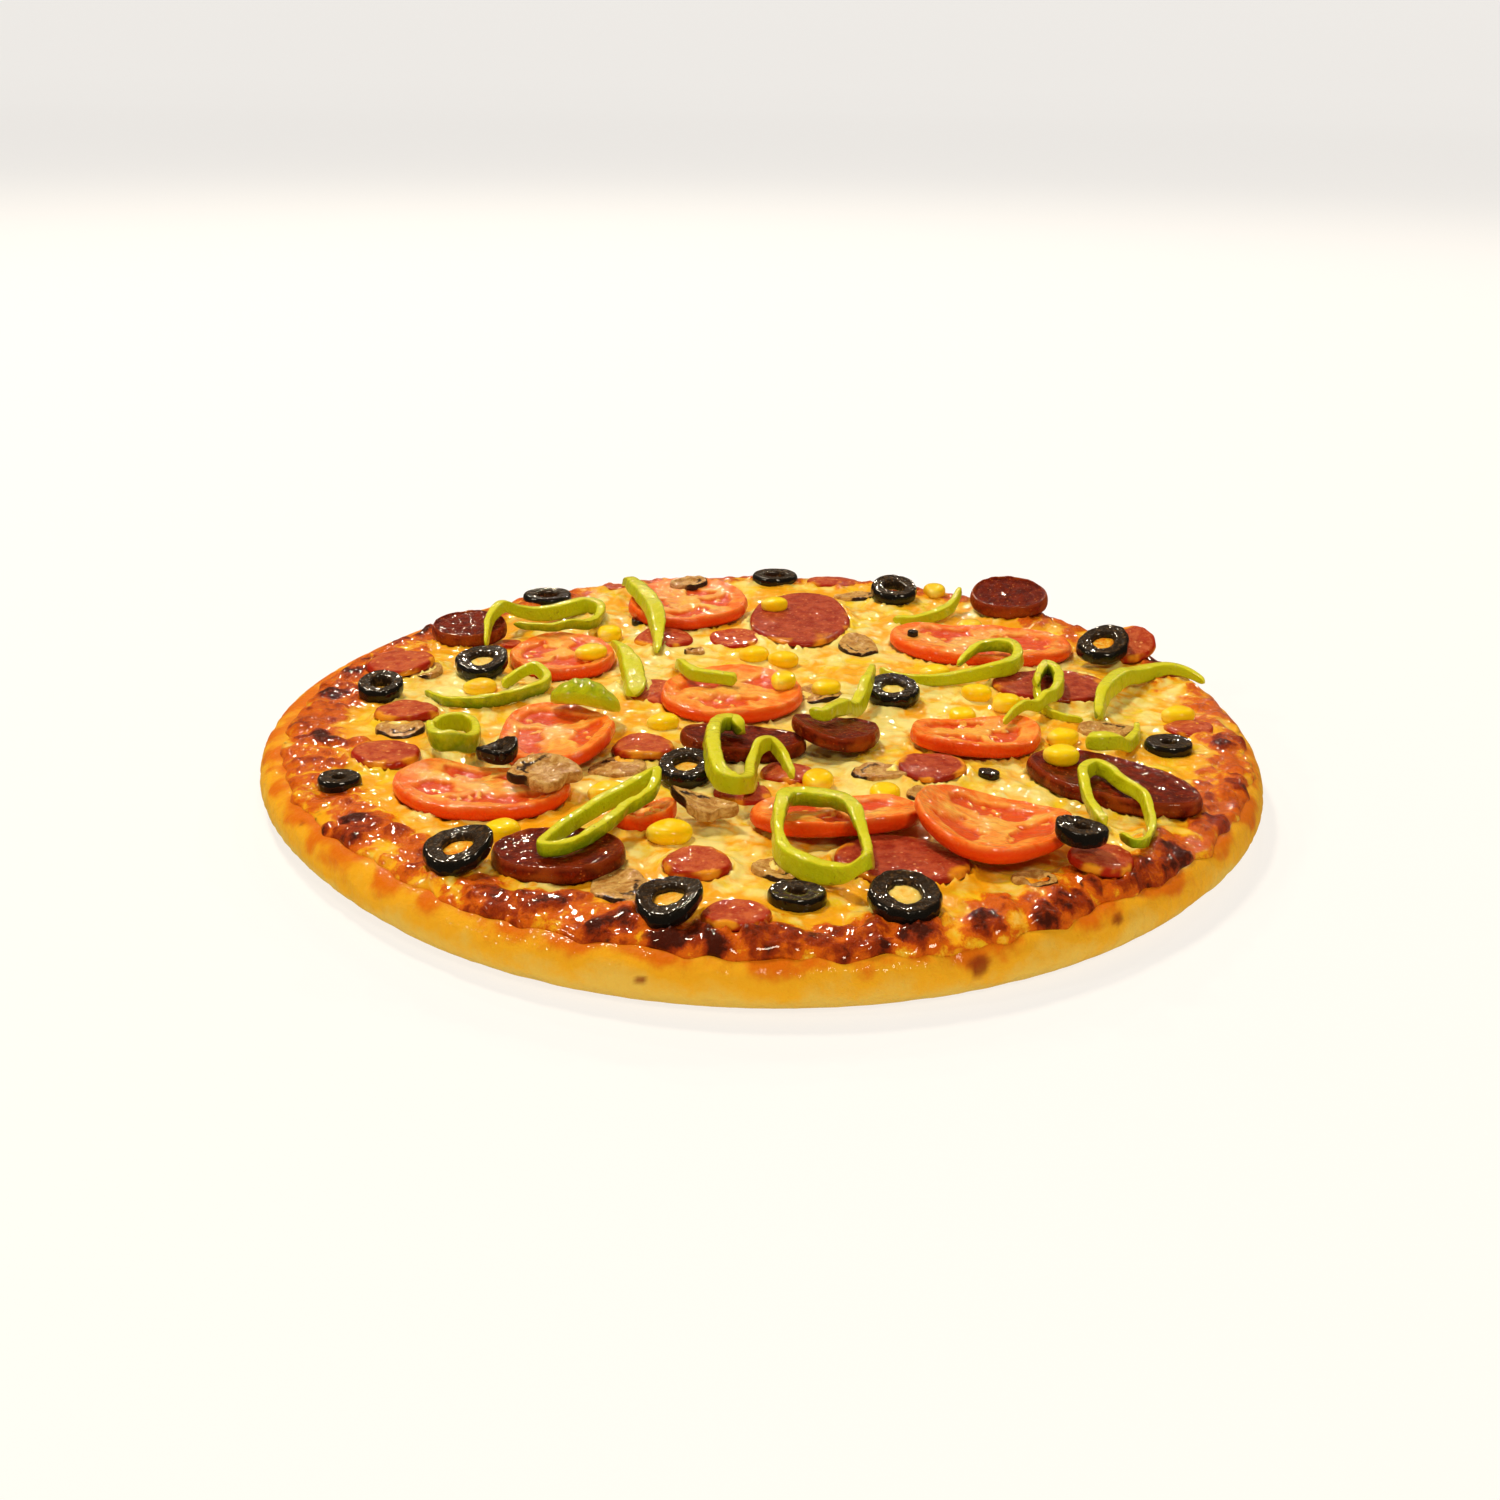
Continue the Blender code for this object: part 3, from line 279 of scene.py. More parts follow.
SCRAPS: dict[Kind, tuple[Scrap, ...]] = {
    Kind.SAUSAGE: (
        Scrap((661, 693), (20, 19)), Scrap((664, 641), (21, 18)), Scrap((735, 641), (18, 17)),
        Scrap((838, 579), (21, 14)), Scrap((908, 583), (18, 14)), Scrap((742, 795), (16, 14)),
        Scrap((788, 775), (16, 14)), Scrap((1188, 730), (15, 13)), Scrap((370, 652), (12, 9)),
        Scrap((506, 644), (11, 9), 20), Scrap((610, 588), (10, 8)),
    ),
    Kind.MUSHROOM: (
        Scrap((423, 674), (14, 13), 40), Scrap((401, 731), (16, 12), -10), Scrap((618, 769), (16, 15), 15),
        Scrap((619, 889), (14, 22), 20), Scrap((781, 873), (16, 12), 160), Scrap((881, 776), (17, 10), 5),
        Scrap((1106, 733), (17, 12), -12), Scrap((858, 648), (14, 18), 0), Scrap((1035, 884), (12, 9), 170),
        Scrap((858, 604), (18, 9), 4), Scrap((816, 694), (17, 14), -20),
        Scrap((695, 648), (7, 6), 30, level=17.0), Scrap((690, 588), (14, 8), 10, level=21.0),
        Scrap((921, 788), (8, 6), level=17.0), Scrap((1060, 691), (9, 8), 60, level=17.0),
    ),
    Kind.OLIVE: (
        Scrap((913, 630), (3.6, 3.2), proud=1.4, level=21.0),
        Scrap((639, 622), (5.5, 5), 20, proud=1.6, level=17.0),
        Scrap((989, 772), (6, 4.5), -10, proud=1.5, level=17.0),
    ),
}


@dataclass(frozen=True)
class PhotoView:
    """How the photograph looks at the pizza, for the camera and for places that are given by a pixel."""

    middle: float = 750.0
    focal: float = 1622.8
    elevation: float = math.radians(22.82)
    roll: float = math.radians(0.97)
    distance: float = 500.0
    aim: Pair = (-3.9, 8.5)
    sensor: float = 36.0
    clip: Pair = (0.01, 100.0)

    def eye(self) -> Vector:
        """Where the photograph was taken from."""
        across, up = self.distance * math.cos(self.elevation), self.distance * math.sin(self.elevation)
        return Vector((self.aim[0], self.aim[1] - across, up))

    def axes(self) -> tuple[Vector, Vector, Vector]:
        """Gives the photograph's own directions.

        Returns:
            To the right, up and forward.
        """
        forward = Vector((0.0, math.cos(self.elevation), -math.sin(self.elevation)))
        level = Vector((1.0, 0.0, 0.0))
        upward = level.cross(forward)
        right = level * math.cos(self.roll) + upward * math.sin(self.roll)
        up = upward * math.cos(self.roll) - level * math.sin(self.roll)
        return right, up, forward

    def plan_point(self, pixel: Pair, height: float) -> Pair:
        """Finds where the line of sight through a pixel meets a level.

        Args:
            pixel: A place in the photograph.
            height: The level's height.

        Returns:
            The place on that level.
        """
        right, up, forward = self.axes()
        eye = self.eye()
        across = (pixel[0] - self.middle) / self.focal
        down = (pixel[1] - self.middle) / self.focal
        ray = forward + right * across - up * down
        meet = eye + ray * ((height - eye.z) / ray.z)
        return meet.x, meet.y

    def on_pizza(self, pixel: Pair, height: float, reach: float) -> Pair:
        """Finds the place seen through a pixel, drawn in to a distance from the middle if it lies beyond.

        Args:
            pixel: A place in the photograph.
            height: How high the place lies.
            reach: The largest distance from the middle.

        Returns:
            The place in plan.
        """
        x, y = self.plan_point(pixel, height)
        share = min(1.0, reach / math.hypot(x, y))
        return x * share, y * share

    def add_camera(self) -> None:
        """Sets the scene's camera where the photograph was taken from."""
        data = bpy.data.cameras.new("photo view")
        data.sensor_width = self.sensor
        data.lens = self.sensor * self.focal / (2.0 * self.middle)
        data.clip_start, data.clip_end = self.clip
        camera = bpy.data.objects.new("photo view", data)
        right, up, forward = self.axes()
        turn = Matrix((right, up, -forward)).transposed().to_4x4()
        camera.matrix_world = Matrix.Translation(self.eye() * MM) @ turn
        bpy.context.scene.collection.objects.link(camera)
        bpy.context.scene.camera = camera


VIEW = PhotoView()


def seed_of(name: str) -> int:
    """A number that is always the same for the same name."""
    return zlib.crc32(name.encode())


def around(count: int) -> Array:
    """Directions spread evenly over a full turn."""
    return math.tau * np.arange(count) / count


def polar(reach: Array | float, angle: Array | float) -> tuple[Array, Array]:
    """Places at distances from the middle in directions."""
    return reach * np.cos(angle), reach * np.sin(angle)


def soft_step(value: Array | float, low: float, high: float) -> Array:
    """Rises smoothly from 0 where the value is low to 1 where it is high."""
    share = np.clip((np.asarray(value) - low) / (high - low), 0.0, 1.0)
    return share * share * (3.0 - 2.0 * share)


def wander(
    seed: str, angle: Array, harmonics: tuple[int, ...] = (2, 3, 5), sizes: Row = (1.0, 0.7, 0.4)
) -> Array:
    """Swings smoothly between about -1 and 1 round a closed outline.

    Args:
        seed: The same words always give the same swing.
        angle: Directions round the outline.
        harmonics: How many swings each layer makes in one round.
        sizes: How strong each layer is.

    Returns:
        The swing in each direction.
    """
    draw = random.Random(seed)
    total = np.zeros_like(angle)
    for harmonic, size in zip(harmonics, sizes):
        total = total + size * np.sin(harmonic * angle + draw.uniform(0.0, math.tau))
    return total / sum(sizes)


class Ripple:
    """Smooth seeded noise for many places at once, between about -1 and 1."""

    size: int = 256
    gain: float = 1.6
    layer_shift: float = 31.7

    def __init__(self, name: str) -> None:
        """Draws the slopes that the noise is blended from.

        Args:
            name: The same words always give the same noise.
        """
        draw = np.random.default_rng(seed_of(name))
        self.order = np.tile(draw.permutation(self.size), 3)
        slopes = draw.normal(size=(self.size, 3))
        self.slopes = slopes / np.linalg.norm(slopes, axis=1)[:, None]

    def at(self, places: Array, spacing: float) -> Array:
        """Gives the noise at places.

        Args:
            places: Points in a row each.
            spacing: About how far apart the bumps lie.

        Returns:
            One value for each place.
        """
        scaled = places / spacing
        cell = np.floor(scaled).astype(int)
        part = scaled - cell
        fade = part**3 * (part * (part * 6.0 - 15.0) + 10.0)
        total = np.zeros(len(places))
        for corner in itertools.product((0, 1), repeat=3):
            key = (cell + corner) % self.size
            pick = self.order[self.order[self.order[key[:, 0]] + key[:, 1]] + key[:, 2]]
            push = np.sum(self.slopes[pick] * (part - corner), axis=1)
            weight = np.prod(np.where(corner, fade, 1.0 - fade), axis=1)
            total += push * weight
        return self.gain * total

    def layered(self, places: Array, spacing: float, layers: int = 3) -> Array:
        """The noise with finer layers added, each half as large and half as strong as the one before."""
        found = [self.at(places + self.layer_shift * k, spacing / 2.0**k) * 0.5**k for k in range(layers)]
        return sum(found) / (2.0 - 0.5 ** (layers - 1))


class Solids:
    """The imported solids, read in millimetres where they lie."""

    def __init__(self, nodes: dict[str, bpy.types.Object]) -> None:
        """Keeps the nodes."""
        self.nodes = nodes

    def points(self, name: str) -> Array:
        """The corners of one solid."""
        return np.array([vertex.co for vertex in self.nodes[name].data.vertices]) / MM

    def tree(self, *names: str) -> BVHTree:
        """Gathers solids for casting rays at them.

        Args:
            names: The solids' names.

        Returns:
            One search tree over all their faces.
        """
        points: list[Row] = []
        faces: list[tuple[int, ...]] = []
        for name in names:
            start = len(points)
            mesh = self.nodes[name].data
            points += [tuple(vertex.co / MM) for vertex in mesh.vertices]
            faces += [tuple(start + i for i in face.vertices) for face in mesh.polygons]
        return BVHTree.FromPolygons(points, faces)


def top_at(tree: BVHTree, x: float, y: float) -> float:
    """The height of the highest face over a place, or not a number where there is none."""
    hit = tree.ray_cast(Vector((x, y, OVER_ALL)), DOWN)[0]
    return hit.z if hit else math.nan


def underside_at(tree: BVHTree, x: float, y: float) -> float:
    """The height of the lowest face over a place, or not a number where there is none."""
    hit = tree.ray_cast(Vector((x, y, BELOW_ALL)), UP)[0]
    return hit.z if hit else math.nan


@dataclass
class HeightSheet:
    """Heights on a square grid over the whole pizza."""

    step: float = 1.0
    reach: float = 150.0
    line: Array = field(init=False)

    def __post_init__(self) -> None:
        """Lays out the grid."""
        self.line = np.arange(-self.reach, self.reach + 0.5 * self.step, self.step)

    def places(self) -> tuple[Array, Array]:
        """The plan places of all cells."""
        return np.meshgrid(self.line, self.line, indexing="ij")

    def cast(self, tree: BVHTree, from_below: bool = False) -> Array:
        """The heights of a solid's tops or undersides over the cells, not a number where it isn't."""
        look = underside_at if from_below else top_at
        return np.array([[look(tree, x, y) for y in self.line] for x in self.line])

    def blurred(self, values: Array, width: float) -> Array:
        """Smooths values over their neighbours.

        Args:
            values: One value for each cell.
            width: How far the smoothing reaches.

        Returns:
            The smoothed values.
        """
        reach = int(3.0 * width / self.step)
        weights = np.exp(-0.5 * (np.arange(-reach, reach + 1) * self.step / width) ** 2)
        weights /= weights.sum()
        for axis in (0, 1):
            values = np.apply_along_axis(lambda row: np.convolve(row, weights, mode="same"), axis, values)
        return values

    def sample(self, values: Array, x: Array, y: Array) -> Array:
        """Reads values between the cells.

        Args:
            values: One value for each cell.
            x: Places across.
            y: Places along.

        Returns:
            The blended value at each place.
        """
        column = np.clip((x + self.reach) / self.step, 0.0, len(self.line) - 1.001)
        row = np.clip((y + self.reach) / self.step, 0.0, len(self.line) - 1.001)
        i, j = column.astype(int), row.astype(int)
        u, v = column - i, row - j
        low = values[i, j] * (1.0 - u) + values[i + 1, j] * u
        high = values[i, j + 1] * (1.0 - u) + values[i + 1, j + 1] * u
        return low * (1.0 - v) + high * v


class Palette:
    """Builds the nodes of one material, with sizes given in millimetres."""

    def __init__(self, name: str) -> None:
        """Starts a material with its shader.

        Args:
            name: The material's name.
        """
        self.material = bpy.data.materials.new(name)
        self.material.use_nodes = True
        self.tree = self.material.node_tree
        self.shader = self.tree.nodes["Principled BSDF"]
        self.places = self._node("TexCoord", "Object", {})

    def _feed(self, socket: Socket, value: Socket | float | Colour) -> None:
        """Links a socket into another, or sets a plain value on it.

        Args:
            socket: What is fed.
            value: What it gets.
        """
        if isinstance(value, bpy.types.NodeSocket):
            self.tree.links.new(value, socket)
        elif isinstance(value, tuple):
            socket.default_value = (*value, 1.0)
        else:
            socket.default_value = value

    def _node(self, kind: str, output: str | int, inputs: Inputs, **settings: str) -> Socket:
        """Adds a node.

        Args:
            kind: Its type, without the leading ShaderNode.
            output: Which of its outputs is wanted.
            inputs: What its inputs get.
            settings: Its own settings.

        Returns:
            The output.
        """
        node = self.tree.nodes.new("ShaderNode" + kind)
        for name, value in settings.items():
            setattr(node, name, value)
        for name, value in inputs.items():
            self._feed(node.inputs[name], value)
        return node.outputs[output]

    def mask(self, name: str) -> Socket:
        """A value kept on the mesh's points."""
        return self._node("Attribute", "Fac", {}, attribute_name=name)

    def noise(self, size: float, detail: float = 3.0, roughness: float = 0.5, bend: float = 0.0) -> Socket:
        """Cloudy noise around 0.5: the size of its patches, its finer layers, their strength, a bend."""
        inputs = {"Vector": self.places, "Scale": 1.0 / (size * MM), "Detail": detail, "Distortion": bend}
        return self._node("TexNoise", "Fac", inputs | {"Roughness": roughness})

    def cells(self, size: float) -> Socket:
        """The distance to the nearest middle in a pattern of cells of a size."""
        return self._node("TexVoronoi", "Distance", {"Vector": self.places, "Scale": 1.0 / (size * MM)})

    def rise(self, source: Socket, low: float, high: float, start: float = 0.0, end: float = 1.0) -> Socket:
        """Turns values from low to high into values from start to end, with a smooth rise."""
        ends = {"Value": source, "From Min": low, "From Max": high, "To Min": start, "To Max": end}
        return self._node("MapRange", "Result", ends, interpolation_type="SMOOTHSTEP")

    def plus(self, first: Socket, second: Socket) -> Socket:
        """The sum of two values."""
        return self._node("Math", "Value", {0: first, 1: second}, operation="ADD")

    def minus(self, first: Socket, second: Socket | float) -> Socket:
        """What is left of a value without another."""
        return self._node("Math", "Value", {0: first, 1: second}, operation="SUBTRACT")

    def times(self, first: Socket, second: Socket | float) -> Socket:
        """The product of two values."""
        return self._node("Math", "Value", {0: first, 1: second}, operation="MULTIPLY")

    def swing(self, noise: Socket, strength: float = 1.0) -> Socket:
        """Noise that goes to both sides of zero."""
        return self.times(self.minus(noise, 0.5), strength)

    def blend(self, share: Socket, first: Socket | Colour, second: Socket | Colour) -> Socket:
        """Mixes two colours by the share of the second."""
        return self._node("Mix", 2, {0: share, 6: first, 7: second}, data_type="RGBA")

    def bumps(self, height: Socket, depth: float, before: Socket | None = None) -> Socket:
        """Fine relief of a depth that only the light sees, added to coarser relief if that is given."""
        coarser = {"Normal": before} if before else {}
        return self._node("Bump", "Normal", {"Distance": depth * MM, "Height": height, **coarser})

    def finish(
        self,
        colour: Socket | Colour,
        roughness: Socket | float,
        relief: Socket | None = None,
        oil: float = 0.0,
        glow: float = 0.0,
        glow_depth: float = 2.0,
        film: Socket | None = None,
    ) -> Material:
        """Connects the shader.

        Args:
            colour: The surface's colour.
            roughness: How matt it is.
            relief: The bent surface direction, where it isn't plain.
            oil: How much of a clear film of oil lies on it.
            glow: How much light goes through its surface.
            glow_depth: How far light spreads inside.
            film: The bent direction of the oil's surface, where it isn't smooth.

        Returns:
            The finished material.
        """
        inputs = self.shader.inputs
        links = {"Base Color": colour, "Roughness": roughness, "Normal": relief, "Coat Normal": film}
        for name, value in links.items():
            if value is not None:
                self._feed(inputs[name], value)
        settings = {
            "IOR": 1.36,
            "Specular IOR Level": 0.06,
            "Coat Weight": oil,
            "Coat Roughness": 0.05,
            "Coat IOR": 1.42,
            "Subsurface Weight": glow,
            "Subsurface Radius": (1.0, 0.45, 0.2),
            "Subsurface Scale": glow_depth * MM,
        }
        for name, value in settings.items():
            inputs[name].default_value = value
        return self.material


@dataclass(frozen=True)
class CheeseFinish:
    """Melted cheese: pale where it is thick, yellow and oily elsewhere, browned and charred at the rim."""

    cream: Colour = (0.88, 0.77, 0.27)
    yellow: Colour = (0.87, 0.58, 0.02)
    oil_stain: Colour = (0.88, 0.4, 0.008)
    rust: Colour = (0.66, 0.12, 0.003)
    brown: Colour = (0.3, 0.03, 0.002)
    deep_brown: Colour = (0.06, 0.007, 0.002)
    char: Colour = (0.012, 0.005, 0.003)

    def material(self) -> Material:
        """Builds the material from the masks that the cheese carries.

        Returns:
            The finished material.
        """
        mix = Palette("melted cheese")
        cloudy = mix.noise(9.0, 4.0, 0.6, 0.8)
        stain = mix.rise(mix.plus(mix.noise(9.0, 4.0, 0.6, 0.6), mix.mask("oil")), 0.47, 0.72)
        thick = mix.rise(mix.minus(cloudy, mix.mask("oil")), 0.22, 0.62)
        base = mix.blend(stain, mix.blend(thick, self.yellow, self.cream), self.oil_stain)
        brown = mix.mask("brown")
        mottle = mix.swing(mix.noise(3.2, 5.0, 0.7, 0.4), 1.3)
        toast = mix.plus(brown, mix.times(mottle, mix.rise(brown, 0.0, 0.4)))
        base = mix.blend(mix.rise(toast, 0.04, 0.3), base, self.oil_stain)
        base = mix.blend(mix.rise(toast, 0.2, 0.46), base, self.rust)
        base = mix.blend(mix.rise(toast, 0.52, 0.9), base, self.brown)
        base = mix.blend(mix.rise(toast, 0.86, 1.2), base, self.deep_brown)
        base = mix.blend(mix.mask("char"), base, self.char)
        bubbled = mix.times(mix.noise(1.5, 4.0, 0.6), mix.rise(brown, 0.05, 0.5, 0.12, 1.0))
        pitted = mix.bumps(bubbled, 0.7, mix.bumps(mix.noise(3.4, 1.0), 0.5))
        roughness = mix.rise(cloudy, 0.3, 0.7, 0.25, 0.4)
        return mix.finish(base, roughness, pitted, oil=0.65, glow=0.2, glow_depth=1.6)


@dataclass(frozen=True)
class CrustFinish:
    """Baked dough: pale at the base, golden above, orange where fat has run, with brown spots."""

    pale: Colour = (0.78, 0.48, 0.07)
    golden: Colour = (0.84, 0.4, 0.014)
    orange: Colour = (0.7, 0.16, 0.004)
    spot: Colour = (0.25, 0.03, 0.005)
    base_brown: Colour = (0.5, 0.24, 0.05)

    def material(self) -> Material:
        """Builds the material from the masks that the dough carries.

        Returns:
            The finished material.
        """
        mix = Palette("baked dough")
        cloudy = mix.swing(mix.noise(11.0, 5.0, 0.65))
        toast = mix.plus(mix.mask("toast"), cloudy)
        base = mix.blend(mix.rise(toast, 0.05, 0.45), self.pale, self.golden)
        base = mix.blend(mix.rise(toast, 0.5, 0.95), base, self.orange)
        base = mix.blend(mix.mask("spot"), base, self.spot)
        base = mix.blend(mix.mask("underside"), base, self.base_brown)
        relief = mix.bumps(mix.noise(1.1, 4.0, 0.6), 0.22, mix.bumps(mix.noise(4.0, 4.0), 0.9))
        matt = mix.rise(toast, 0.0, 0.8, 0.6, 0.4)
        return mix.finish(base, matt, relief, oil=0.25, glow=0.15, film=mix.bumps(mix.noise(3.0, 2.0), 0.7))


@dataclass(frozen=True)
class TomatoFinish:
    """A slice of tomato: red skin, salmon flesh, red jelly, a pale core and pale seeds, all wet."""

    skin: Colour = (0.8, 0.06, 0.003)
    flesh: Colour = (0.87, 0.16, 0.008)
    jelly: Colour = (0.64, 0.035, 0.002)
    core: Colour = (0.93, 0.5, 0.09)
    seed: Colour = (0.9, 0.42, 0.06)

    def material(self) -> Material:
        """Builds the material from the masks that a slice carries.

        Returns:
            The finished material.
        """
        mix = Palette("tomato")
        fibres = mix.rise(mix.noise(7.0, 4.0, 0.6, 1.2), 0.4, 0.62)
        flesh = mix.blend(mix.times(fibres, 0.45), self.flesh, self.core)
        clouded = mix.rise(mix.noise(4.0, 3.0, 0.6, 0.8), 0.35, 0.65)
        pale = mix.times(mix.mask("core"), mix.rise(clouded, 0.0, 1.0, 0.7, 1.0))
        base = mix.blend(pale, flesh, self.core)
        jelly = mix.blend(mix.times(clouded, 0.3), self.jelly, self.flesh)
        base = mix.blend(mix.times(mix.mask("jelly"), 0.9), base, jelly)
        base = mix.blend(mix.mask("seed"), base, self.seed)
        base = mix.blend(mix.mask("skin"), base, self.skin)
        relief = mix.bumps(mix.noise(0.9, 3.0), 0.2, mix.bumps(mix.noise(3.0, 3.0), 0.5))
        film = mix.bumps(mix.noise(2.4, 1.0), 0.6)
        return mix.finish(base, 0.4, relief, oil=0.75, glow=0.3, film=film)


@dataclass(frozen=True)
class MeatFinish:
    """Cured meat: a fine grain, flecks of fat, a darker rim, and a film of fat over it."""

    name: str
    lean: Colour
    pale: Colour
    rim: Colour
    fleck: Colour
    film: Colour = (0.8, 0.3, 0.012)
    grain: float = 1.2
    cloud: float = 3.4
    fleck_size: float = 1.6
    fleck_share: float = 0.28
    roughness: float = 0.36
    relief: float = 0.22
    oil: float = 0.4

    def material(self) -> Material:
        """Builds the material from the masks that a slice carries.

        Returns:
            The finished material.
        """
        mix = Palette(self.name)
        cloudy = mix.rise(mix.noise(self.cloud, 5.0, 0.68), 0.36, 0.64)
        base = mix.blend(cloudy, self.lean, self.pale)
        flecks = mix.rise(mix.cells(self.fleck_size), self.fleck_share, 0.5 * self.fleck_share)
        patches = mix.rise(mix.noise(2.4, 2.0), 0.42, 0.58)
        base = mix.blend(mix.times(flecks, patches), base, self.fleck)
        base = mix.blend(mix.mask("rim"), base, self.rim)
        base = mix.blend(mix.mask("film"), base, self.film)
        coarse = mix.bumps(mix.noise(self.grain, 4.0, 0.7), self.relief)
        relief = mix.bumps(mix.noise(3.0, 3.0), 0.5, coarse)
        film = mix.bumps(mix.noise(3.2, 1.0), 0.4)
        return mix.finish(base, self.roughness, relief, oil=self.oil, glow=0.08, glow_depth=1.5, film=film)


@dataclass(frozen=True)
class MushroomFinish:
    """Roasted mushroom: tan flesh with dark gills and edges."""

    flesh: Colour = (0.66, 0.4, 0.12)
    tan: Colour = (0.4, 0.17, 0.03)
    gill: Colour = (0.03, 0.011, 0.004)

    def material(self) -> Material:
        """Builds the material from the masks that a slice carries.

        Returns:
            The finished material.
        """
        mix = Palette("mushroom")
        base = mix.blend(mix.rise(mix.noise(2.8, 5.0, 0.7, 0.8), 0.38, 0.62), self.flesh, self.tan)
        streaked = mix.plus(mix.mask("gill"), mix.swing(mix.noise(1.6, 4.0, 0.7)))
        base = mix.blend(mix.rise(streaked, 0.35, 0.7), base, self.gill)
        relief = mix.bumps(mix.noise(0.7, 4.0, 0.7), 0.25, mix.bumps(mix.noise(2.2, 3.0), 0.7))
        film = mix.bumps(mix.noise(2.6, 2.0), 0.7)
        return mix.finish(base, 0.45, relief, oil=0.5, glow=0.1, glow_depth=1.5, film=film)


@dataclass(frozen=True)
class OliveFinish:
    """Black olive: glossy black skin, a dark cut face with paler grain."""

    skin: Colour = (0.005, 0.004, 0.003)
    cut: Colour = (0.022, 0.012, 0.006)
    grain: Colour = (0.11, 0.055, 0.018)

    def material(self) -> Material:
        """Builds the material from the masks that a ring carries.

        Returns:
            The finished material.
        """
        mix = Palette("olive")
        cut = mix.blend(mix.rise(mix.noise(1.3, 3.0, 0.6), 0.5, 0.75), self.cut, self.grain)
        base = mix.blend(mix.mask("cut"), self.skin, cut)
        relief = mix.bumps(mix.noise(1.1, 3.0), 0.3)
        return mix.finish(base, 0.3, relief, oil=1.0, film=mix.bumps(mix.noise(2.6, 1.0), 0.4))


@dataclass(frozen=True)
class PepperFinish:
    """Green pepper: darker skin, with painted shade towards the bottom of each ribbon, yellow-green flesh,
    pale cut edges.
    """

    skin: Colour = (0.19, 0.27, 0.001)
    flesh: Colour = (0.5, 0.52, 0.004)
    cut: Colour = (0.66, 0.64, 0.02)
    seared: Colour = (0.2, 0.1, 0.012)

    def material(self) -> Material:
        """Builds the material from the masks that a ribbon carries.

        Returns:
            The finished material.
        """
        mix = Palette("green pepper")
        uneven = mix.swing(mix.noise(3.4, 4.0, 0.65), 1.6)
        # The skin mask holds the real skin and painted shade towards the bottom of each ribbon.
        skin = mix.rise(mix.plus(mix.mask("skin"), uneven), 0.1, 1.1)
        cut = mix.rise(mix.plus(mix.mask("cut"), uneven), 0.25, 0.8)
        base = mix.blend(cut, mix.blend(skin, self.flesh, self.skin), self.cut)
        specks = mix.times(mix.rise(mix.noise(1.7, 4.0, 0.65), 0.62, 0.72), 0.55)
        base = mix.blend(specks, base, self.seared)
        relief = mix.bumps(mix.noise(0.9, 3.0), 0.14, mix.bumps(mix.noise(2.6, 3.0), 0.5))
        film = mix.bumps(mix.noise(2.2, 1.0), 0.5)
        return mix.finish(base, 0.35, relief, oil=0.8, glow=0.2, glow_depth=1.5, film=film)


@dataclass(frozen=True)
class CornFinish:
    """Sweetcorn: deep yellow, plump and shiny, paler at the narrow end."""

    yellow: Colour = (0.97, 0.66, 0.003)
    deep: Colour = (0.93, 0.54, 0.002)
    tip: Colour = (0.95, 0.68, 0.06)

    def material(self) -> Material:
        """Builds the material from the masks that a grain carries.

        Returns:
            The finished material.
        """
        mix = Palette("sweetcorn")
        base = mix.blend(mix.rise(mix.noise(9.0, 1.0), 0.4, 0.7), self.yellow, self.deep)
        base = mix.blend(mix.mask("tip"), base, self.tip)
        relief = mix.bumps(mix.noise(2.2, 2.0), 0.15)
        return mix.finish(base, 0.28, relief, oil=0.7, glow=0.3, glow_depth=1.5)


SUCUK_FINISH = MeatFinish(
    "sucuk",
    lean=(0.08, 0.004, 0.0005), pale=(0.2, 0.014, 0.001), rim=(0.34, 0.05, 0.008),
    fleck=(0.42, 0.09, 0.014), film=(0.3, 0.05, 0.004), grain=0.9, cloud=2.6, fleck_size=1.3, relief=0.4,
)
SALAMI_FINISH = MeatFinish(
    "salami",
    lean=(0.3, 0.025, 0.01), pale=(0.47, 0.075, 0.028), rim=(0.3, 0.016, 0.004), fleck=(0.64, 0.2, 0.08),
    grain=0.8, fleck_size=1.8,
)
SAUSAGE_FINISH = MeatFinish(
    "sausage",
    lean=(0.4, 0.038, 0.012), pale=(0.58, 0.12, 0.035), rim=(0.38, 0.016, 0.003), fleck=(0.74, 0.28, 0.09),
    grain=0.9, fleck_size=2.2,
)


def ring_quads(first: int, second: int, sides: int) -> Faces:
    """The quads from one ring of points to the ring above or inside it, by their first points."""
    i, j = np.arange(sides), (np.arange(sides) + 1) % sides
    return np.stack([first + i, first + j, second + j, second + i], axis=1).tolist()


def fan(first: int, sides: int, middle: int, down: bool = False) -> Faces:
    """The triangles between a ring and a middle point, which face down if asked."""
    pairs = [(first + i, first + (i + 1) % sides) for i in range(sides)]
    return [[b, a, middle] if down else [a, b, middle] for a, b in pairs]


def looped(count: int, sides: int) -> Faces:
    """The quads between rings of points, the last ring joined to the first."""
    pairs = [(k * sides, (k + 1) % count * sides) for k in range(count)]
    return [quad for first, second in pairs for quad in ring_quads(first, second, sides)]


def closed_rings(rings: Array) -> tuple[Array, Faces]:
    """Closes rings of points into one body, with a middle point under the first ring and over the last.

    Args:
        rings: Points by ring and side, from the middle of the underside round to the middle of the top.

    Returns:
        The points, the two middles last, and the faces.
    """
    count, sides, _ = rings.shape
    middles = np.array([rings[0].mean(axis=0), rings[-1].mean(axis=0)])
    points = np.concatenate([rings.reshape(-1, 3), middles])
    faces: Faces = []
    for k in range(count - 1):
        faces += ring_quads(k * sides, (k + 1) * sides, sides)
    faces += fan(0, sides, count * sides, down=True)
    faces += fan((count - 1) * sides, sides, count * sides + 1)
    return points, faces


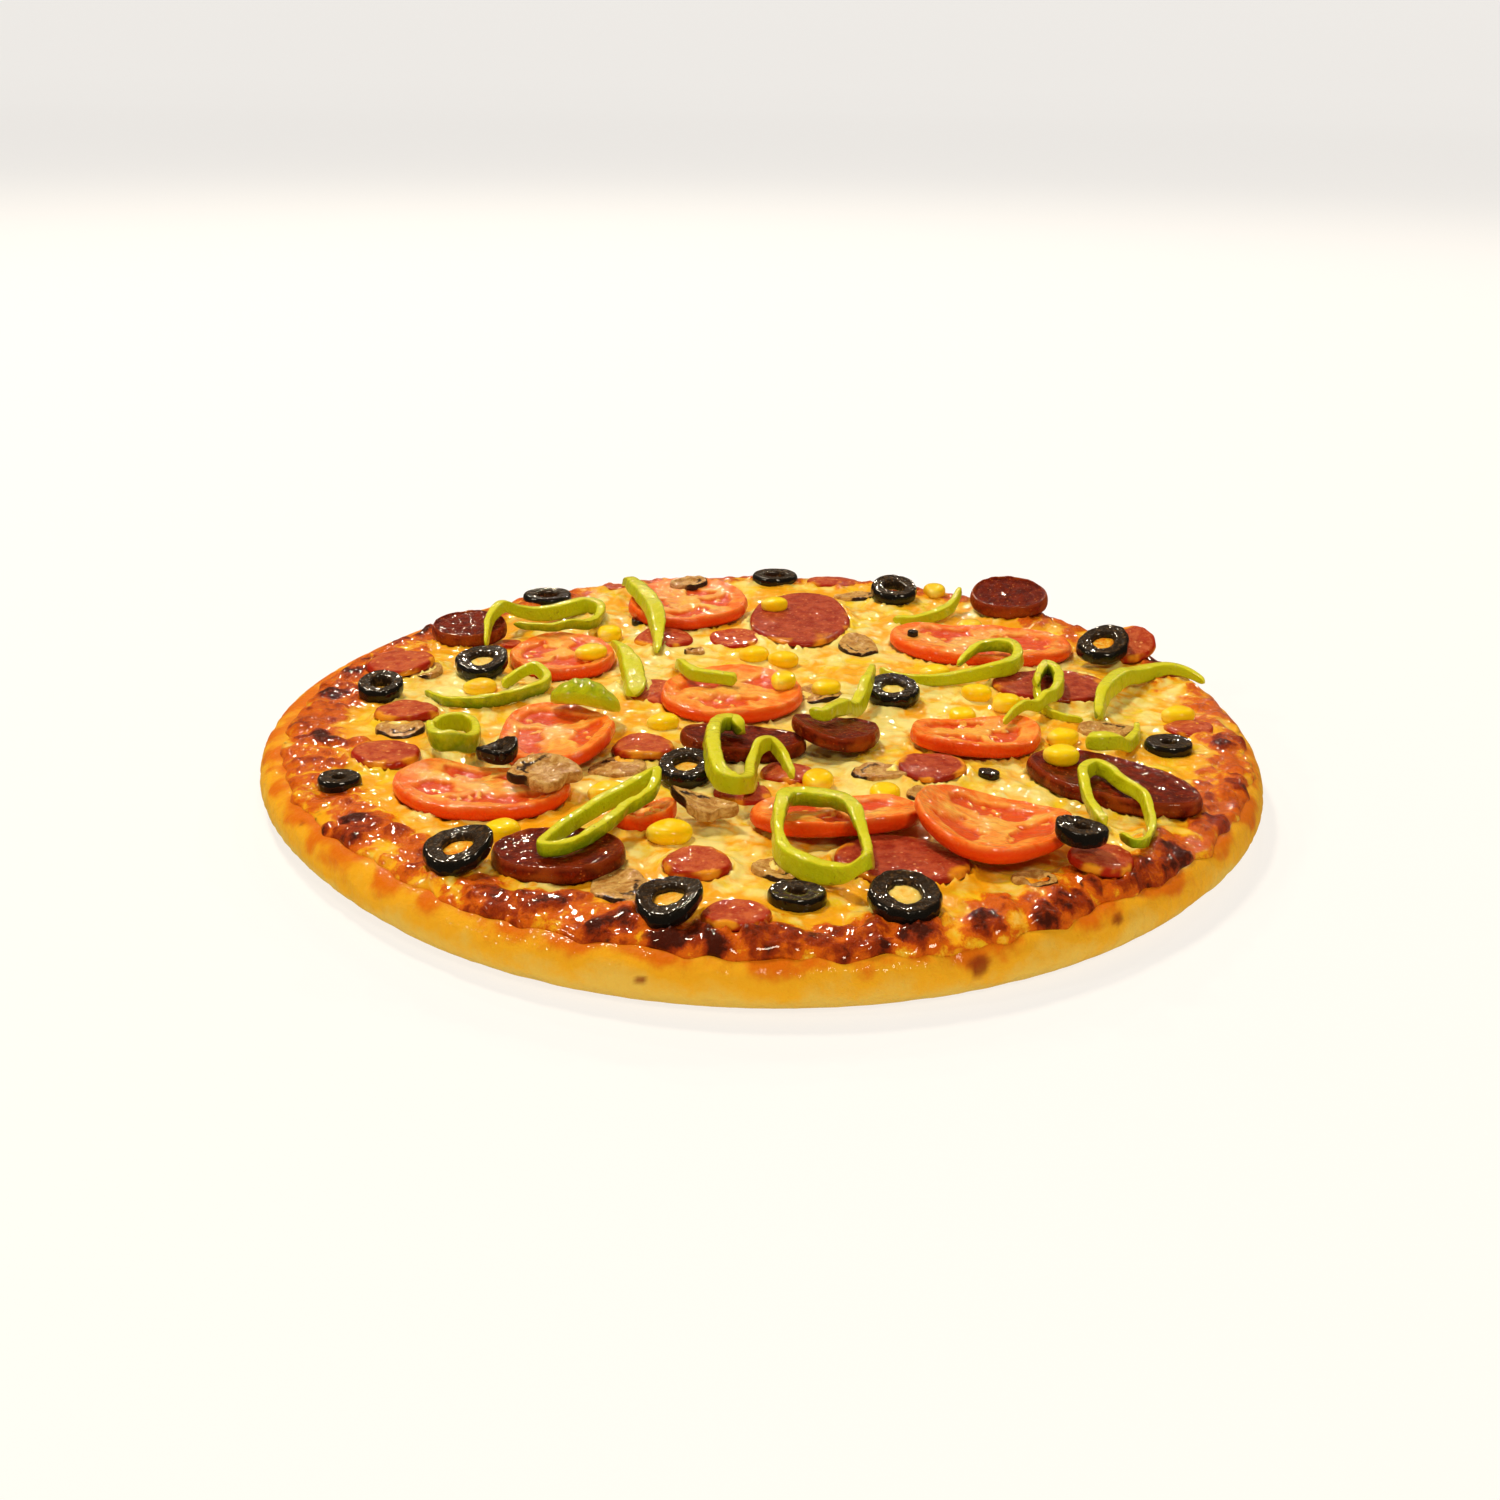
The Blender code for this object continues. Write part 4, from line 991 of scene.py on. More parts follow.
def add_piece(
    name: str, shape: Shape, material: Material, stands_for: tuple[str, ...] = ()
) -> Piece:
    """Makes one piece of the pizza that rides on its body.

    Args:
        name: The piece's name.
        shape: Its points in millimetres, its faces and the values on its points that its material reads.
        material: Its material.
        stands_for: The solids that it replaces.

    Returns:
        The new object.
    """
    points, faces, masks = shape
    mesh = bpy.data.meshes.new(name)
    mesh.from_pydata((points * MM).tolist(), [], faces)
    mesh.materials.append(material)
    mesh.shade_smooth()
    for mask, values in masks.items():
        layer = mesh.attributes.new(mask, "FLOAT", "POINT")
        layer.data.foreach_set("value", np.asarray(values, dtype=np.float32))
    piece = bpy.data.objects.new(name, mesh)
    bpy.context.scene.collection.objects.link(piece)
    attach(piece, "root")
    if stands_for:
        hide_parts(*stands_for)
    return piece


class Batch:
    """Many small shapes that become one piece."""

    def __init__(self) -> None:
        """Starts with nothing."""
        self.points: list[Array] = []
        self.faces: Faces = []
        self.masks: dict[str, list[Array]] = {}
        self.total = 0

    def add(self, shape: Shape) -> None:
        """Adds one shape.

        Args:
            shape: Its points, faces and masks.
        """
        points, faces, masks = shape
        self.faces += [[self.total + i for i in face] for face in faces]
        self.points.append(points)
        for name, values in masks.items():
            self.masks.setdefault(name, []).append(values)
        self.total += len(points)

    def shape(self) -> Shape:
        """All the shapes as one."""
        masks = {name: np.concatenate(values) for name, values in self.masks.items()}
        return np.concatenate(self.points), self.faces, masks


@dataclass
class Dough:
    """The dough: a shallow dish with a rolled, golden edge."""

    profile: Line = (
        (138, 0), (142.6, 1.8), (145.2, 5.2), (145, 9),
        (143.2, 12.2), (139.2, 13.8), (132.5, 12.9), (126, 10.8),
    )
    under_radii: Row = (40.0, 100.0, 132.0)
    floor_radii: Row = (90.0, 40.0)
    far_side_rise: float = 0.13
    swells: tuple[Triple, ...] = (
        (178, 22, 0.013), (222, 18, -0.012), (270, 25, 0.008), (318, 20, -0.008),
    )
    sectors: int = 720
    steps: int = 6
    draw_in: float = 0.9975
    side_radius: float = 144.4
    spots: tuple[Triple, ...] = (
        (980, 966, 3.0), (820, 966, 1.7), (900, 940, 1.4), (944, 946, 1.6), (1120, 918, 2.0), (352, 868, 1.3),
        (440, 915, 1.0), (640, 980, 1.1), (300, 820, 1.2), (318, 846, 0.9), (410, 900, 0.9), (1010, 940, 1.2),
    )

    def rise(self, angle: Array) -> Array:
        """How much higher than its profile the dough has risen, as a factor."""
        return 1.0 + self.far_side_rise * soft_step(np.sin(angle + 0.35), 0.0, 0.7)

    def swell(self, angle: Array) -> Array:
        """Gives how far the rolled edge wanders from a true circle.

        Args:
            angle: Directions from the middle, between 0 and a full turn.

        Returns:
            The share of the radius in each direction.
        """
        total = 1.0 + 0.003 * wander("dough", angle, (3, 4, 7), (1.0, 0.8, 0.4))
        for degrees, width, size in self.swells:
            total = total + size * np.exp(-(((np.degrees(angle) - degrees) / width) ** 2))
        return total

    def height(self, radius: Array, angle: Array) -> Array:
        """Gives the height of the dough's upper surface.

        Args:
            radius: Distances from the middle, before the swell.
            angle: Directions.

        Returns:
            The height at each place.
        """
        upper = np.array(self.profile[:3:-1])
        rise = self.rise(angle)
        over_floor = np.interp(radius, upper[:, 0], upper[:, 1])
        towards = np.clip(radius / upper[0, 0], 0.0, 1.0)
        flat = upper[0, 1] * (1.0 + (rise - 1.0) * towards)
        return np.where(radius < upper[0, 0], flat, over_floor * rise)

    def level_at(self, x: Array, y: Array) -> Array:
        """The height of the dough's upper surface at places in plan."""
        angle = np.arctan2(y, x) % math.tau
        return self.height(np.hypot(x, y) / self.swell(angle), angle)

    def on_side(self, pixel: Pair) -> Array:
        """Finds the place on the dough's side that a pixel shows.

        Args:
            pixel: A place in the photograph.

        Returns:
            The place: along the line of sight, what is higher is farther from the middle.
        """
        low, high = 0.0, self.profile[5][1]
        for _ in range(12):
            level = 0.5 * (low + high)
            x, y = VIEW.plan_point(pixel, level)
            outside = math.hypot(x, y) > self.side_radius * self.swell(np.array(math.atan2(y, x) % math.tau))
            low, high = (low, level) if outside else (level, high)
        return np.array([x, y, level])

    def section(self) -> Array:
        """The edge's section as a smooth line of points: distance from the middle and height."""
        return np.maximum(smooth_through(list(np.array(self.profile)), self.steps, False), 0.0)

    def build(self) -> list[Piece]:
        """Builds the dough and dresses it.

        Returns:
            The piece.
        """
        angle = around(self.sectors)
        swell, rise = self.swell(angle) * self.draw_in, self.rise(angle)
        inside = self.profile[-1][1]
        below = [(radius, 0.0) for radius in self.under_radii]
        above = [(radius, inside) for radius in self.floor_radii]
        section = np.concatenate([below, self.section(), above])
        rings = np.stack([*polar(section[:, :1] * swell, angle), section[:, 1:] * rise], axis=-1)
        points, faces = closed_rings(rings)
        along = np.append(np.repeat(section[:, 0], self.sectors), [0.0, 0.0])
        level = np.append(np.repeat(section[:, 1], self.sectors), [0.0, inside])
        standing = soft_step(level, 0.4, 2.5) * soft_step(along, 124.0, 132.0)
        puffs = Ripple("dough puffs")
        puff = puffs.layered(points, 15.0, 3) + 0.5 * puffs.at(points + 90.0, 5.0)
        outward = points * [1.0, 1.0, 0.0]
        outward /= np.maximum(np.linalg.norm(outward, axis=1), 1e-6)[:, None]
        points = points - outward * (0.75 * np.abs(puff) * standing)[:, None]
        points[:, 2] += 0.3 * puff * standing * soft_step(level, 4.0, 9.0)
        under = (1.0 - soft_step(level, 0.05, 0.6)) * soft_step(-along, -141.0, -137.0)
        cloudy = puffs.layered(points + 40.0, 30.0, 2)
        patchy = puffs.layered(points + 140.0, 11.0, 3)
        toast = 0.02 + 0.4 * soft_step(level + 2.2 * cloudy, 1.0, 11.0) + 0.14 * cloudy + 0.2 * patchy
        toast += 0.5 * soft_step(level + 5.0 * patchy, 8.5, 15.5)
        toast += 0.1 * soft_step(-points[:, 0], 40.0, 130.0) * soft_step(level, 4.0, 9.0)
        masks = {"toast": toast, "spot": self.spotted(points, puffs), "underside": under}
        material = CrustFinish().material()
        return [add_piece("dough_baked", (points, faces, masks), material, ("dough",))]

    def spotted(self, points: Array, puffs: Ripple) -> Array:
        """Gives where the brown spots on the side are.

        Args:
            points: The dough's points.
            puffs: The dough's noise.

        Returns:
            0 away from spots to 0.85 in their middles.
        """
        spot = np.zeros(len(points))
        speckle = puffs.layered(points + 7.0, 2.4, 2)
        for across, down, size in self.spots:
            reach = np.linalg.norm(points - self.on_side((across, down)), axis=1) + 1.2 * speckle
            spot = np.maximum(spot, 1.0 - soft_step(reach, 0.5 * size, 1.2 * size))
        return 0.85 * spot


@dataclass(frozen=True)
class Blister:
    """A bubble in the cheese: its middle, radius, height and how browned it is."""

    x: float
    y: float
    radius: float
    height: float
    brown: float


@dataclass
class Cheese:
    """The melted cheese: it fills the dough, climbs up what lies in it, and is browned and craggy outside."""

    dough: Dough
    solids: Solids
    material: Material
    sheet: HeightSheet = field(default_factory=HeightSheet)
    heights: Array = field(init=False)
    edge_radius: float = 139.4
    band: float = 16.0
    sectors: int = 900
    edge_shares: Triple = (1.0, 0.9985, 0.996)
    fine_from: float = 76.0
    medium_from: float = 36.0
    underneath: Line = ((1.5, 0.6), (6.0, 0.8), (14.0, 0.8), (60.0, 0.8))
    fused_grain: float = 6.4
    fused_margin: float = 1.6
    open_above: float = 99.0
    lapped_below: float = 2.2
    thin_kinds: tuple[str, ...] = ("sausage", "salami", "mushroom")
    thin_climb: float = 4.4
    thick_climb: float = 3.4
    most_climb: float = 2.9
    browner_left: Pair = (50.0, 120.0)
    band_bubbles: int = 520
    middle_bubbles: int = 150
    middle_radius: float = 122.0
    lump_level: float = 16.5
    lump_reach: float = 137.0
    brown_lumps: tuple[tuple[int, int, int], ...] = (
        (322, 735, 9), (352, 742, 5), (325, 828, 10), (365, 822, 8), (300, 845, 7), (398, 832, 6),
        (468, 908, 7), (520, 905, 9), (560, 898, 8), (480, 882, 6), (610, 935, 8), (660, 940, 7),
        (705, 950, 6), (772, 938, 10), (840, 940, 8), (880, 945, 6), (925, 930, 6), (985, 918, 7),
        (1052, 920, 6), (1085, 905, 7), (1165, 860, 9), (1180, 885, 8), (1232, 868, 9), (1222, 820, 8),
        (1240, 780, 7), (1230, 740, 7), (335, 690, 7), (350, 668, 6), (420, 628, 7), (400, 640, 6),
        (1180, 660, 7), (1060, 602, 6),
    )

    def __post_init__(self) -> None:
        """Finds how high the cheese lies."""
        self.heights = self.ground()

    def height_at(self, x: Array, y: Array) -> Array:
        """How high the cheese lies at places in plan, before its own relief."""
        return self.sheet.sample(self.heights, x, y)

    def edge(self, angle: Array) -> Array:
        """Gives how far out the cheese has run over the rolled edge.

        Args:
            angle: Directions from the middle.

        Returns:
            The distance in each direction.
        """
        ragged = 1.3 * wander("cheese edge", angle, (5, 9, 14, 23), (1.0, 0.9, 0.8, 0.5))
        reach = self.edge_radius + ragged + 1.4 * np.cos(angle) - 1.5 * np.sin(angle)
        reach += 1.5 * wander("fine edge", angle, (31, 47, 71, 109), (1.0, 0.9, 0.7, 0.5))
        return reach * self.dough.swell(angle)

    def bare(self) -> Array:
        """Reads the solid cheese, with the grains and olives that are fused to it smoothed away.

        Returns:
            One height for each cell of the sheet.
        """
        tree = self.solids.tree("cheese")
        heights = self.sheet.cast(tree)
        x, y = self.sheet.places()
        fused = [(grain.seen_at, self.fused_grain) for grain in GRAINS if grain.carrier == "cheese"]
        fused += [(olive.seen_at, 0.5 * olive.size[0] + self.fused_margin) for olive in SUNK_OLIVES]
        for seen_at, reach in fused:
            across, along = VIEW.plan_point(seen_at, SMALL_PIECE_LEVEL)
            total, weights = np.zeros_like(heights), np.zeros_like(heights)
            for turn in around(16):
                px, py = np.array((across, along)) + polar(reach, turn)
                weight = 1.0 / ((x - px) ** 2 + (y - py) ** 2 + 0.5)
                level = top_at(tree, px, py)
                if not math.isnan(level):
                    total += weight * level
                    weights += weight
            inside = (x - across) ** 2 + (y - along) ** 2 < reach**2
            heights[inside] = (total / weights)[inside]
        return np.where(np.isnan(heights), self.dough.level_at(x, y) + 1.2, heights)

    def ground(self) -> Array:
        """Fits the cheese to what lies on it: it climbs up beside each piece and stays clear under it.

        Returns:
            One height for each cell of the sheet.
        """
        sheet = self.sheet
        smooth = sheet.blurred(self.bare(), 1.7)
        toppings = [name for name in self.solids.nodes if name not in ("dough", "cheese")]
        thin = [name for name in toppings if name.split("_")[0] in self.thin_kinds]
        thick = [name for name in toppings if name not in thin]
        x, y = (values.ravel() for values in sheet.places())
        spots = np.stack([x, y, np.zeros_like(x)], axis=1)
        uneven = Ripple("climb").at(spots, 15.0).reshape(smooth.shape)
        climb, roof = np.zeros_like(smooth), np.full_like(smooth, self.open_above)
        for names, steepness in ((thin, self.thin_climb), (thick, self.thick_climb)):
            ceiling = sheet.cast(self.solids.tree(*names), from_below=True)
            ceiling = np.nan_to_num(ceiling, nan=self.open_above)
            cover = (ceiling < smooth + self.lapped_below).astype(float)
            rise = steepness * sheet.blurred(cover, 1.4) * (0.9 + 0.5 * uneven)
            climb = np.maximum(climb, rise + 1.5 * sheet.blurred(cover, 5.0))
            roof = np.minimum(roof, ceiling)
        raised = smooth + np.minimum(climb, self.most_climb)
        return np.where(roof < smooth + self.lapped_below, np.minimum(smooth, roof - 0.1), raised)

    def blisters(self) -> list[Blister]:
        """Scatters bubbles in the browned band, in the lumps that the photograph shows and in the middle.

        Returns:
            All the bubbles.
        """
        draw = random.Random("blisters")
        found = []
        for _ in range(self.band_bubbles):
            angle = draw.uniform(0.0, math.tau)
            inward = 1.5 + (self.band - 1.0) * draw.random() ** 1.1
            reach = float(self.edge(np.array(angle))) - inward
            radius = draw.uniform(1.0, 3.2)
            height = 0.34 * radius * draw.uniform(0.6, 1.2)
            found.append(Blister(*polar(reach, angle), radius, height, draw.uniform(0.0, 0.5)))
        for across, down, size in self.brown_lumps:
            middle = VIEW.on_pizza((across, down), self.lump_level, self.lump_reach)
            for _ in range(int(1.6 * size)):
                angle, off = draw.uniform(0.0, math.tau), size * 0.62 * math.sqrt(draw.random())
                radius = draw.uniform(1.4, 3.6)
                height = 0.5 * radius * draw.uniform(0.6, 1.1)
                place = middle + np.array(polar(off, angle))
                found.append(Blister(*place, radius, height, draw.uniform(0.4, 1.0)))
        for _ in range(self.middle_bubbles):
            angle, reach = draw.uniform(0.0, math.tau), self.middle_radius * math.sqrt(draw.random())
            radius = draw.uniform(0.9, 2.6)
            found.append(Blister(*polar(reach, angle), radius, 0.2 * radius, draw.uniform(-0.3, 0.2)))
        return found

    def bubbled(self, x: Array, y: Array) -> tuple[Array, Array]:
        """Raises and browns the bubbles.

        Args:
            x: Places across, bent a little so that no bubble is quite round.
            y: Places along, bent too.

        Returns:
            How high the bubbles stand at each place and how browned they are there.
        """
        lumps, toasted = np.zeros_like(x), np.zeros_like(x)
        for blister in self.blisters():
            near = np.hypot(x - blister.x, y - blister.y) / blister.radius
            inside = near < 1.3
            dome = blister.height * np.clip(1.0 - near[inside] ** 2, 0.0, 1.0) ** 0.6
            lumps[inside] = np.maximum(lumps[inside], dome)
            patch = blister.brown * (1.0 - soft_step(near[inside], 0.5, 1.3))
            toasted[inside] = np.maximum(toasted[inside], patch)
        return lumps, toasted

    def rings(self) -> list[tuple[float, int]]:
        """Lists the rings of the top from the edge inward, with fewer points each towards the middle.

        Returns:
            A share of the edge's radius and a count of points for each.
        """
        found = [(share, self.sectors) for share in self.edge_shares]
        share = 0.991
        while share * self.edge_radius > 1.4:
            radius = share * self.edge_radius
            count, step = (self.sectors, 0.95) if radius > self.fine_from else (self.sectors // 2, 1.1)
            if radius <= self.medium_from:
                count, step = self.sectors // 4, 1.5
            found.append((share, count))
            share -= step / self.edge_radius
        return found

    def lay_out(self) -> tuple[Array, Faces]:
        """Lays out the top, all but its middle point.

        Returns:
            A row for each point, with its place in plan and its share of the edge's radius, and the faces.
        """
        places: list[Array] = []
        faces: Faces = []
        starts: list[tuple[int, int]] = []
        total = 0
        for share, count in self.rings():
            angle = around(count)
            places.append(np.stack([*polar(self.edge(angle) * share, angle), np.full(count, share)], axis=1))
            starts.append((total, count))
            total += count
        for (first, count), (second, inner) in zip(starts, starts[1:]):
            if count == inner:
                faces += ring_quads(first, second, count)
                continue
            for i in range(inner):
                j = (i + 1) % inner
                a, b, c = first + 2 * i, first + 2 * i + 1, first + (2 * i + 2) % count
                faces += [[a, b, second + i], [b, second + j, second + i], [b, c, second + j]]
        return np.concatenate(places), faces + fan(*starts[-1], total)

    def band_share(self, spots: Array, ripple: Ripple) -> Array:
        """Gives how browned and craggy the cheese is.

        Args:
            spots: Places in plan.
            ripple: Noise that makes the band's inner border uneven.

        Returns:
            0 in the middle to 1 near the edge.
        """
        places = spots + [0.0, 0.0, 3.1]
        x, y = spots[:, 0], spots[:, 1]
        inward = self.edge(np.arctan2(y, x) % math.tau) - np.hypot(x, y)
        uneven = inward + 5.0 * ripple.at(places, 17.0) + 3.0 * ripple.at(places + 77.0, 7.0)
        uneven -= 4.0 * soft_step(-x, *self.browner_left)
        return 1.0 - soft_step(uneven, self.band - 8.0, self.band + 1.0)

    def build(self) -> list[Piece]:
        """Builds the cheese and dresses it.

        Returns:
            The piece.
        """
        flat, faces = self.lay_out()
        x, y, share = flat[:, 0], flat[:, 1], flat[:, 2]
        ripple = Ripple("cheese")
        spots = np.stack([x, y, np.zeros_like(x)], axis=1)
        band = self.band_share(spots, ripple)
        craggy = ripple.layered(spots + 11.0, 8.0, 3)
        height = self.height_at(x, y)
        billow = np.abs(ripple.layered(spots + 50.0, 10.0, 3))
        height += 1.4 * billow - 0.3 + 0.3 * ripple.at(spots + 70.0, 3.6)
        height += band * (1.2 * np.abs(craggy) + 0.4 * ripple.at(spots + 20.0, 2.6))
        brown = band * (0.34 + 0.6 * ripple.layered(spots + 130.0, 9.0, 3) + 0.3 * np.clip(craggy, 0.0, 1.0))
        warped_x = x + 1.3 * ripple.at(spots + 400.0, 4.0)
        warped_y = y + 1.3 * ripple.at(spots + 440.0, 4.0)
        lumps, toasted = self.bubbled(warped_x, warped_y)
        height += lumps
        left = 0.08 * soft_step(-x, *self.browner_left)
        brown += 0.62 * toasted + band * (0.12 * np.clip(lumps, 0.0, 1.0) + left)
        inward = (1.0 - share) * self.edge(np.arctan2(y, x) % math.tau)
        rim = self.dough.level_at(x, y) - 0.25
        rounding = np.sqrt(np.clip(1.0 - (1.0 - np.clip(inward / 2.2, 0.0, 1.0)) ** 2, 0.0, 1.0))
        height = rim + (np.maximum(height, rim + 0.7) - rim) * rounding
        char = soft_step(ripple.layered(spots + 210.0, 2.6, 2), 0.42, 0.56)
        char *= soft_step(ripple.at(spots + 260.0, 14.0), 0.0, 0.3) * soft_step(band, 0.3, 0.9)
        stain = 0.2 * ripple.layered(spots + 300.0, 24.0, 2) + 0.09 * soft_step(np.hypot(x, y), 95.0, 125.0)
        stain += 0.16 * (1.0 - soft_step(billow, 0.0, 0.35)) - 0.06
        points = np.stack([x, y, height], axis=1)
        innermost = self.rings()[-1][1]
        points = np.concatenate([points, [points[-innermost:].mean(axis=0)]])
        points, faces = self.close_underneath(points, faces)
        spare = len(points) - len(brown)
        masks = {"brown": brown, "char": char, "oil": stain}
        masks = {name: np.pad(values, (0, spare)) for name, values in masks.items()}
        return [add_piece("cheese_melted", (points, faces, masks), self.material, ("cheese",))]

    def close_underneath(self, points: Array, faces: Faces) -> tuple[Array, Faces]:
        """Closes the cheese underneath, just inside the dough's surface.

        Args:
            points: The points of the top, the outer ring first.
            faces: Its faces.

        Returns:
            All the points and faces.
        """
        angle = around(self.sectors)
        previous = 0
        for inward, sunk in self.underneath:
            radius = self.edge(angle) - inward
            level = self.dough.height(radius / self.dough.swell(angle), angle) - sunk
            faces += ring_quads(len(points), previous, self.sectors)
            previous = len(points)
            points = np.concatenate([points, np.stack([*polar(radius, angle), level], axis=1)])
        faces += fan(previous, self.sectors, len(points), down=True)
        return np.concatenate([points, [[0.0, 0.0, 10.0]]]), faces


@dataclass
class Lie:
    """How a flat solid lies: its middle, its outline in plan and the surface under it."""

    middle: Pair
    outline: Array
    surface: Array
    step: ClassVar[float] = 0.4
    smallest: ClassVar[float] = 0.5
    samples: ClassVar[int] = 26
    well_inside: ClassVar[float] = 0.85

    @classmethod
    def of_solid(cls, solids: Solids, name: str) -> "Lie":
        """Reads how a solid lies by casting rays at it.

        Args:
            solids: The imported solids.
            name: The solid's name.

        Returns:
            How it lies.
        """
        tree = solids.tree(name)
        points = solids.points(name)
        low, high = points.min(axis=0), points.max(axis=0)
        middle = (0.5 * (low[0] + high[0]), 0.5 * (low[1] + high[1]))
        far = 0.75 * float(np.hypot(high[0] - low[0], high[1] - low[1]))
        outline = []
        for angle in around(DIRECTIONS):
            cosine, sine = math.cos(angle), math.sin(angle)
            reach = far
            while reach > cls.smallest:
                if not math.isnan(underside_at(tree, middle[0] + reach * cosine, middle[1] + reach * sine)):
                    break
                reach -= cls.step
            outline.append(reach + 0.1)
        found = []
        for x in np.linspace(low[0], high[0], cls.samples):
            for y in np.linspace(low[1], high[1], cls.samples):
                inside = math.hypot(x - middle[0], y - middle[1])
                turn = math.atan2(y - middle[1], x - middle[0]) % math.tau
                border = outline[int(turn / math.tau * DIRECTIONS) % DIRECTIONS]
                level = underside_at(tree, x, y)
                if not math.isnan(level) and inside < cls.well_inside * border:
                    found.append((x - middle[0], y - middle[1], level))
        places = np.array(found)
        terms = cls.terms(places[:, 0], places[:, 1])
        surface = np.linalg.lstsq(terms, places[:, 2], rcond=None)[0]
        smooth = np.array(outline)
        for _ in range(2):
            smooth = 0.25 * np.roll(smooth, 1) + 0.5 * smooth + 0.25 * np.roll(smooth, -1)
        return cls(middle, smooth, surface)

    @staticmethod
    def terms(x: Array, y: Array) -> Array:
        """The terms of a tilted and slightly bent surface."""
        return np.stack([np.ones_like(x), x, y, x * x, x * y, y * y], axis=-1)

    def reach(self, angle: Array) -> Array:
        """How far the outline is from the middle in each direction."""
        turns = math.tau * np.arange(len(self.outline) + 1) / len(self.outline)
        return np.interp(angle % math.tau, turns, np.append(self.outline, self.outline[0]))

    def under(self, x: Array, y: Array) -> Array:
        """The height of the surface under the piece, at places from its middle."""
        return self.terms(x, y) @ self.surface


@dataclass
class SlabGrid:
    """The points of a slab by ring and direction, before its relief is added."""

    share: Array
    level: Array
    angle: Array
    x: Array
    y: Array
    top: Array


class Slab:
    """A flat slice: a rounded slab with the relief and masks of its kind."""

    kind: Kind
    top_rings: int
    sides: int
    rim: Pair = (0.84, 0.95)
    film_from: float = 0.6
    side_section: Line = (
        (0.93, 0.0), (0.975, 0.1), (1.0, 0.32), (1.0, 0.56),
        (0.99, 0.75), (0.97, 0.9), (0.945, 0.98), (0.92, 1.0),
    )

    def __init__(self, name: str, lie: Lie, thickness: float) -> None:
        """Keeps what the slice is made from.

        Args:
            name: Its name, which gives its own noise.
            lie: How it lies.
            thickness: How thick it is.
        """
        self.name = name
        self.lie = lie
        self.thickness = thickness
        self.ripple = Ripple(name)

    def grid(self) -> SlabGrid:
        """Lays out the slab's points.

        Returns:
            The points by ring and direction, from the middle of the underside round to the middle of the top.
        """
        angle = around(self.sides)
        section = [(0.35, 0.0), (0.75, 0.0), *self.side_section]
        section += [(share, 1.0) for share in np.linspace(0.9, 0.04, self.top_rings)]
        share = np.array([point[0] for point in section])[:, None] * np.ones(self.sides)
        level = np.array([point[1] for point in section])[:, None] * np.ones(self.sides)
        uneven = wander(self.name + " outline", angle, (3, 5, 8, 13), (1.0, 0.8, 0.7, 0.5))
        reach = self.lie.reach(angle) * (0.98 + 0.02 * uneven)
        turns = angle[None, :] * np.ones_like(share)
        x, y = polar(share * reach, angle)
        top = (level >= 1.0) & (share <= 0.93)
        return SlabGrid(share, level, turns, x, y, top.astype(float))

    def noise(self, grid: SlabGrid, spacing: float, layers: int, shift: float = 0.0) -> Array:
        """Layered noise at the slab's points, between about -1 and 1; another shift gives other noise."""
        places = np.stack([grid.x.ravel(), grid.y.ravel(), grid.level.ravel() * self.thickness], axis=1)
        return self.ripple.layered(places + shift, spacing, layers).reshape(grid.x.shape)

    def relief(self, grid: SlabGrid) -> Array:
        """The relief of the top, the same for all kinds that don't say otherwise."""
        return 0.2 * self.noise(grid, 6.0, 3) * grid.level

    def film(self, grid: SlabGrid, inner: float) -> Array:
        """How much oil and thin cheese lies over the slice, from a share of its radius outward."""
        uneven = self.noise(grid, 7.0, 3, 200.0)
        return soft_step(uneven + 0.5 * soft_step(grid.share, inner, 1.0), 0.42, 0.78)

    def masks(self, grid: SlabGrid) -> dict[str, Array]:
        """The values that the material reads."""
        return {"rim": soft_step(grid.share, *self.rim), "film": self.film(grid, self.film_from)}

    def shape(self) -> Shape:
        """Builds the slab's points, faces and masks.

        Returns:
            All three, in the pizza's frame.
        """
        grid = self.grid()
        height = self.lie.under(grid.x, grid.y) + grid.level * self.thickness + self.relief(grid)
        rings = np.stack([self.lie.middle[0] + grid.x, self.lie.middle[1] + grid.y, height], axis=-1)
        points, faces = closed_rings(rings)
        masks = {}
        for name, values in self.masks(grid).items():
            middles = [values[0].mean(), values[-1].mean()]
            masks[name] = np.concatenate([values.ravel(), middles])
        return points, faces, masks


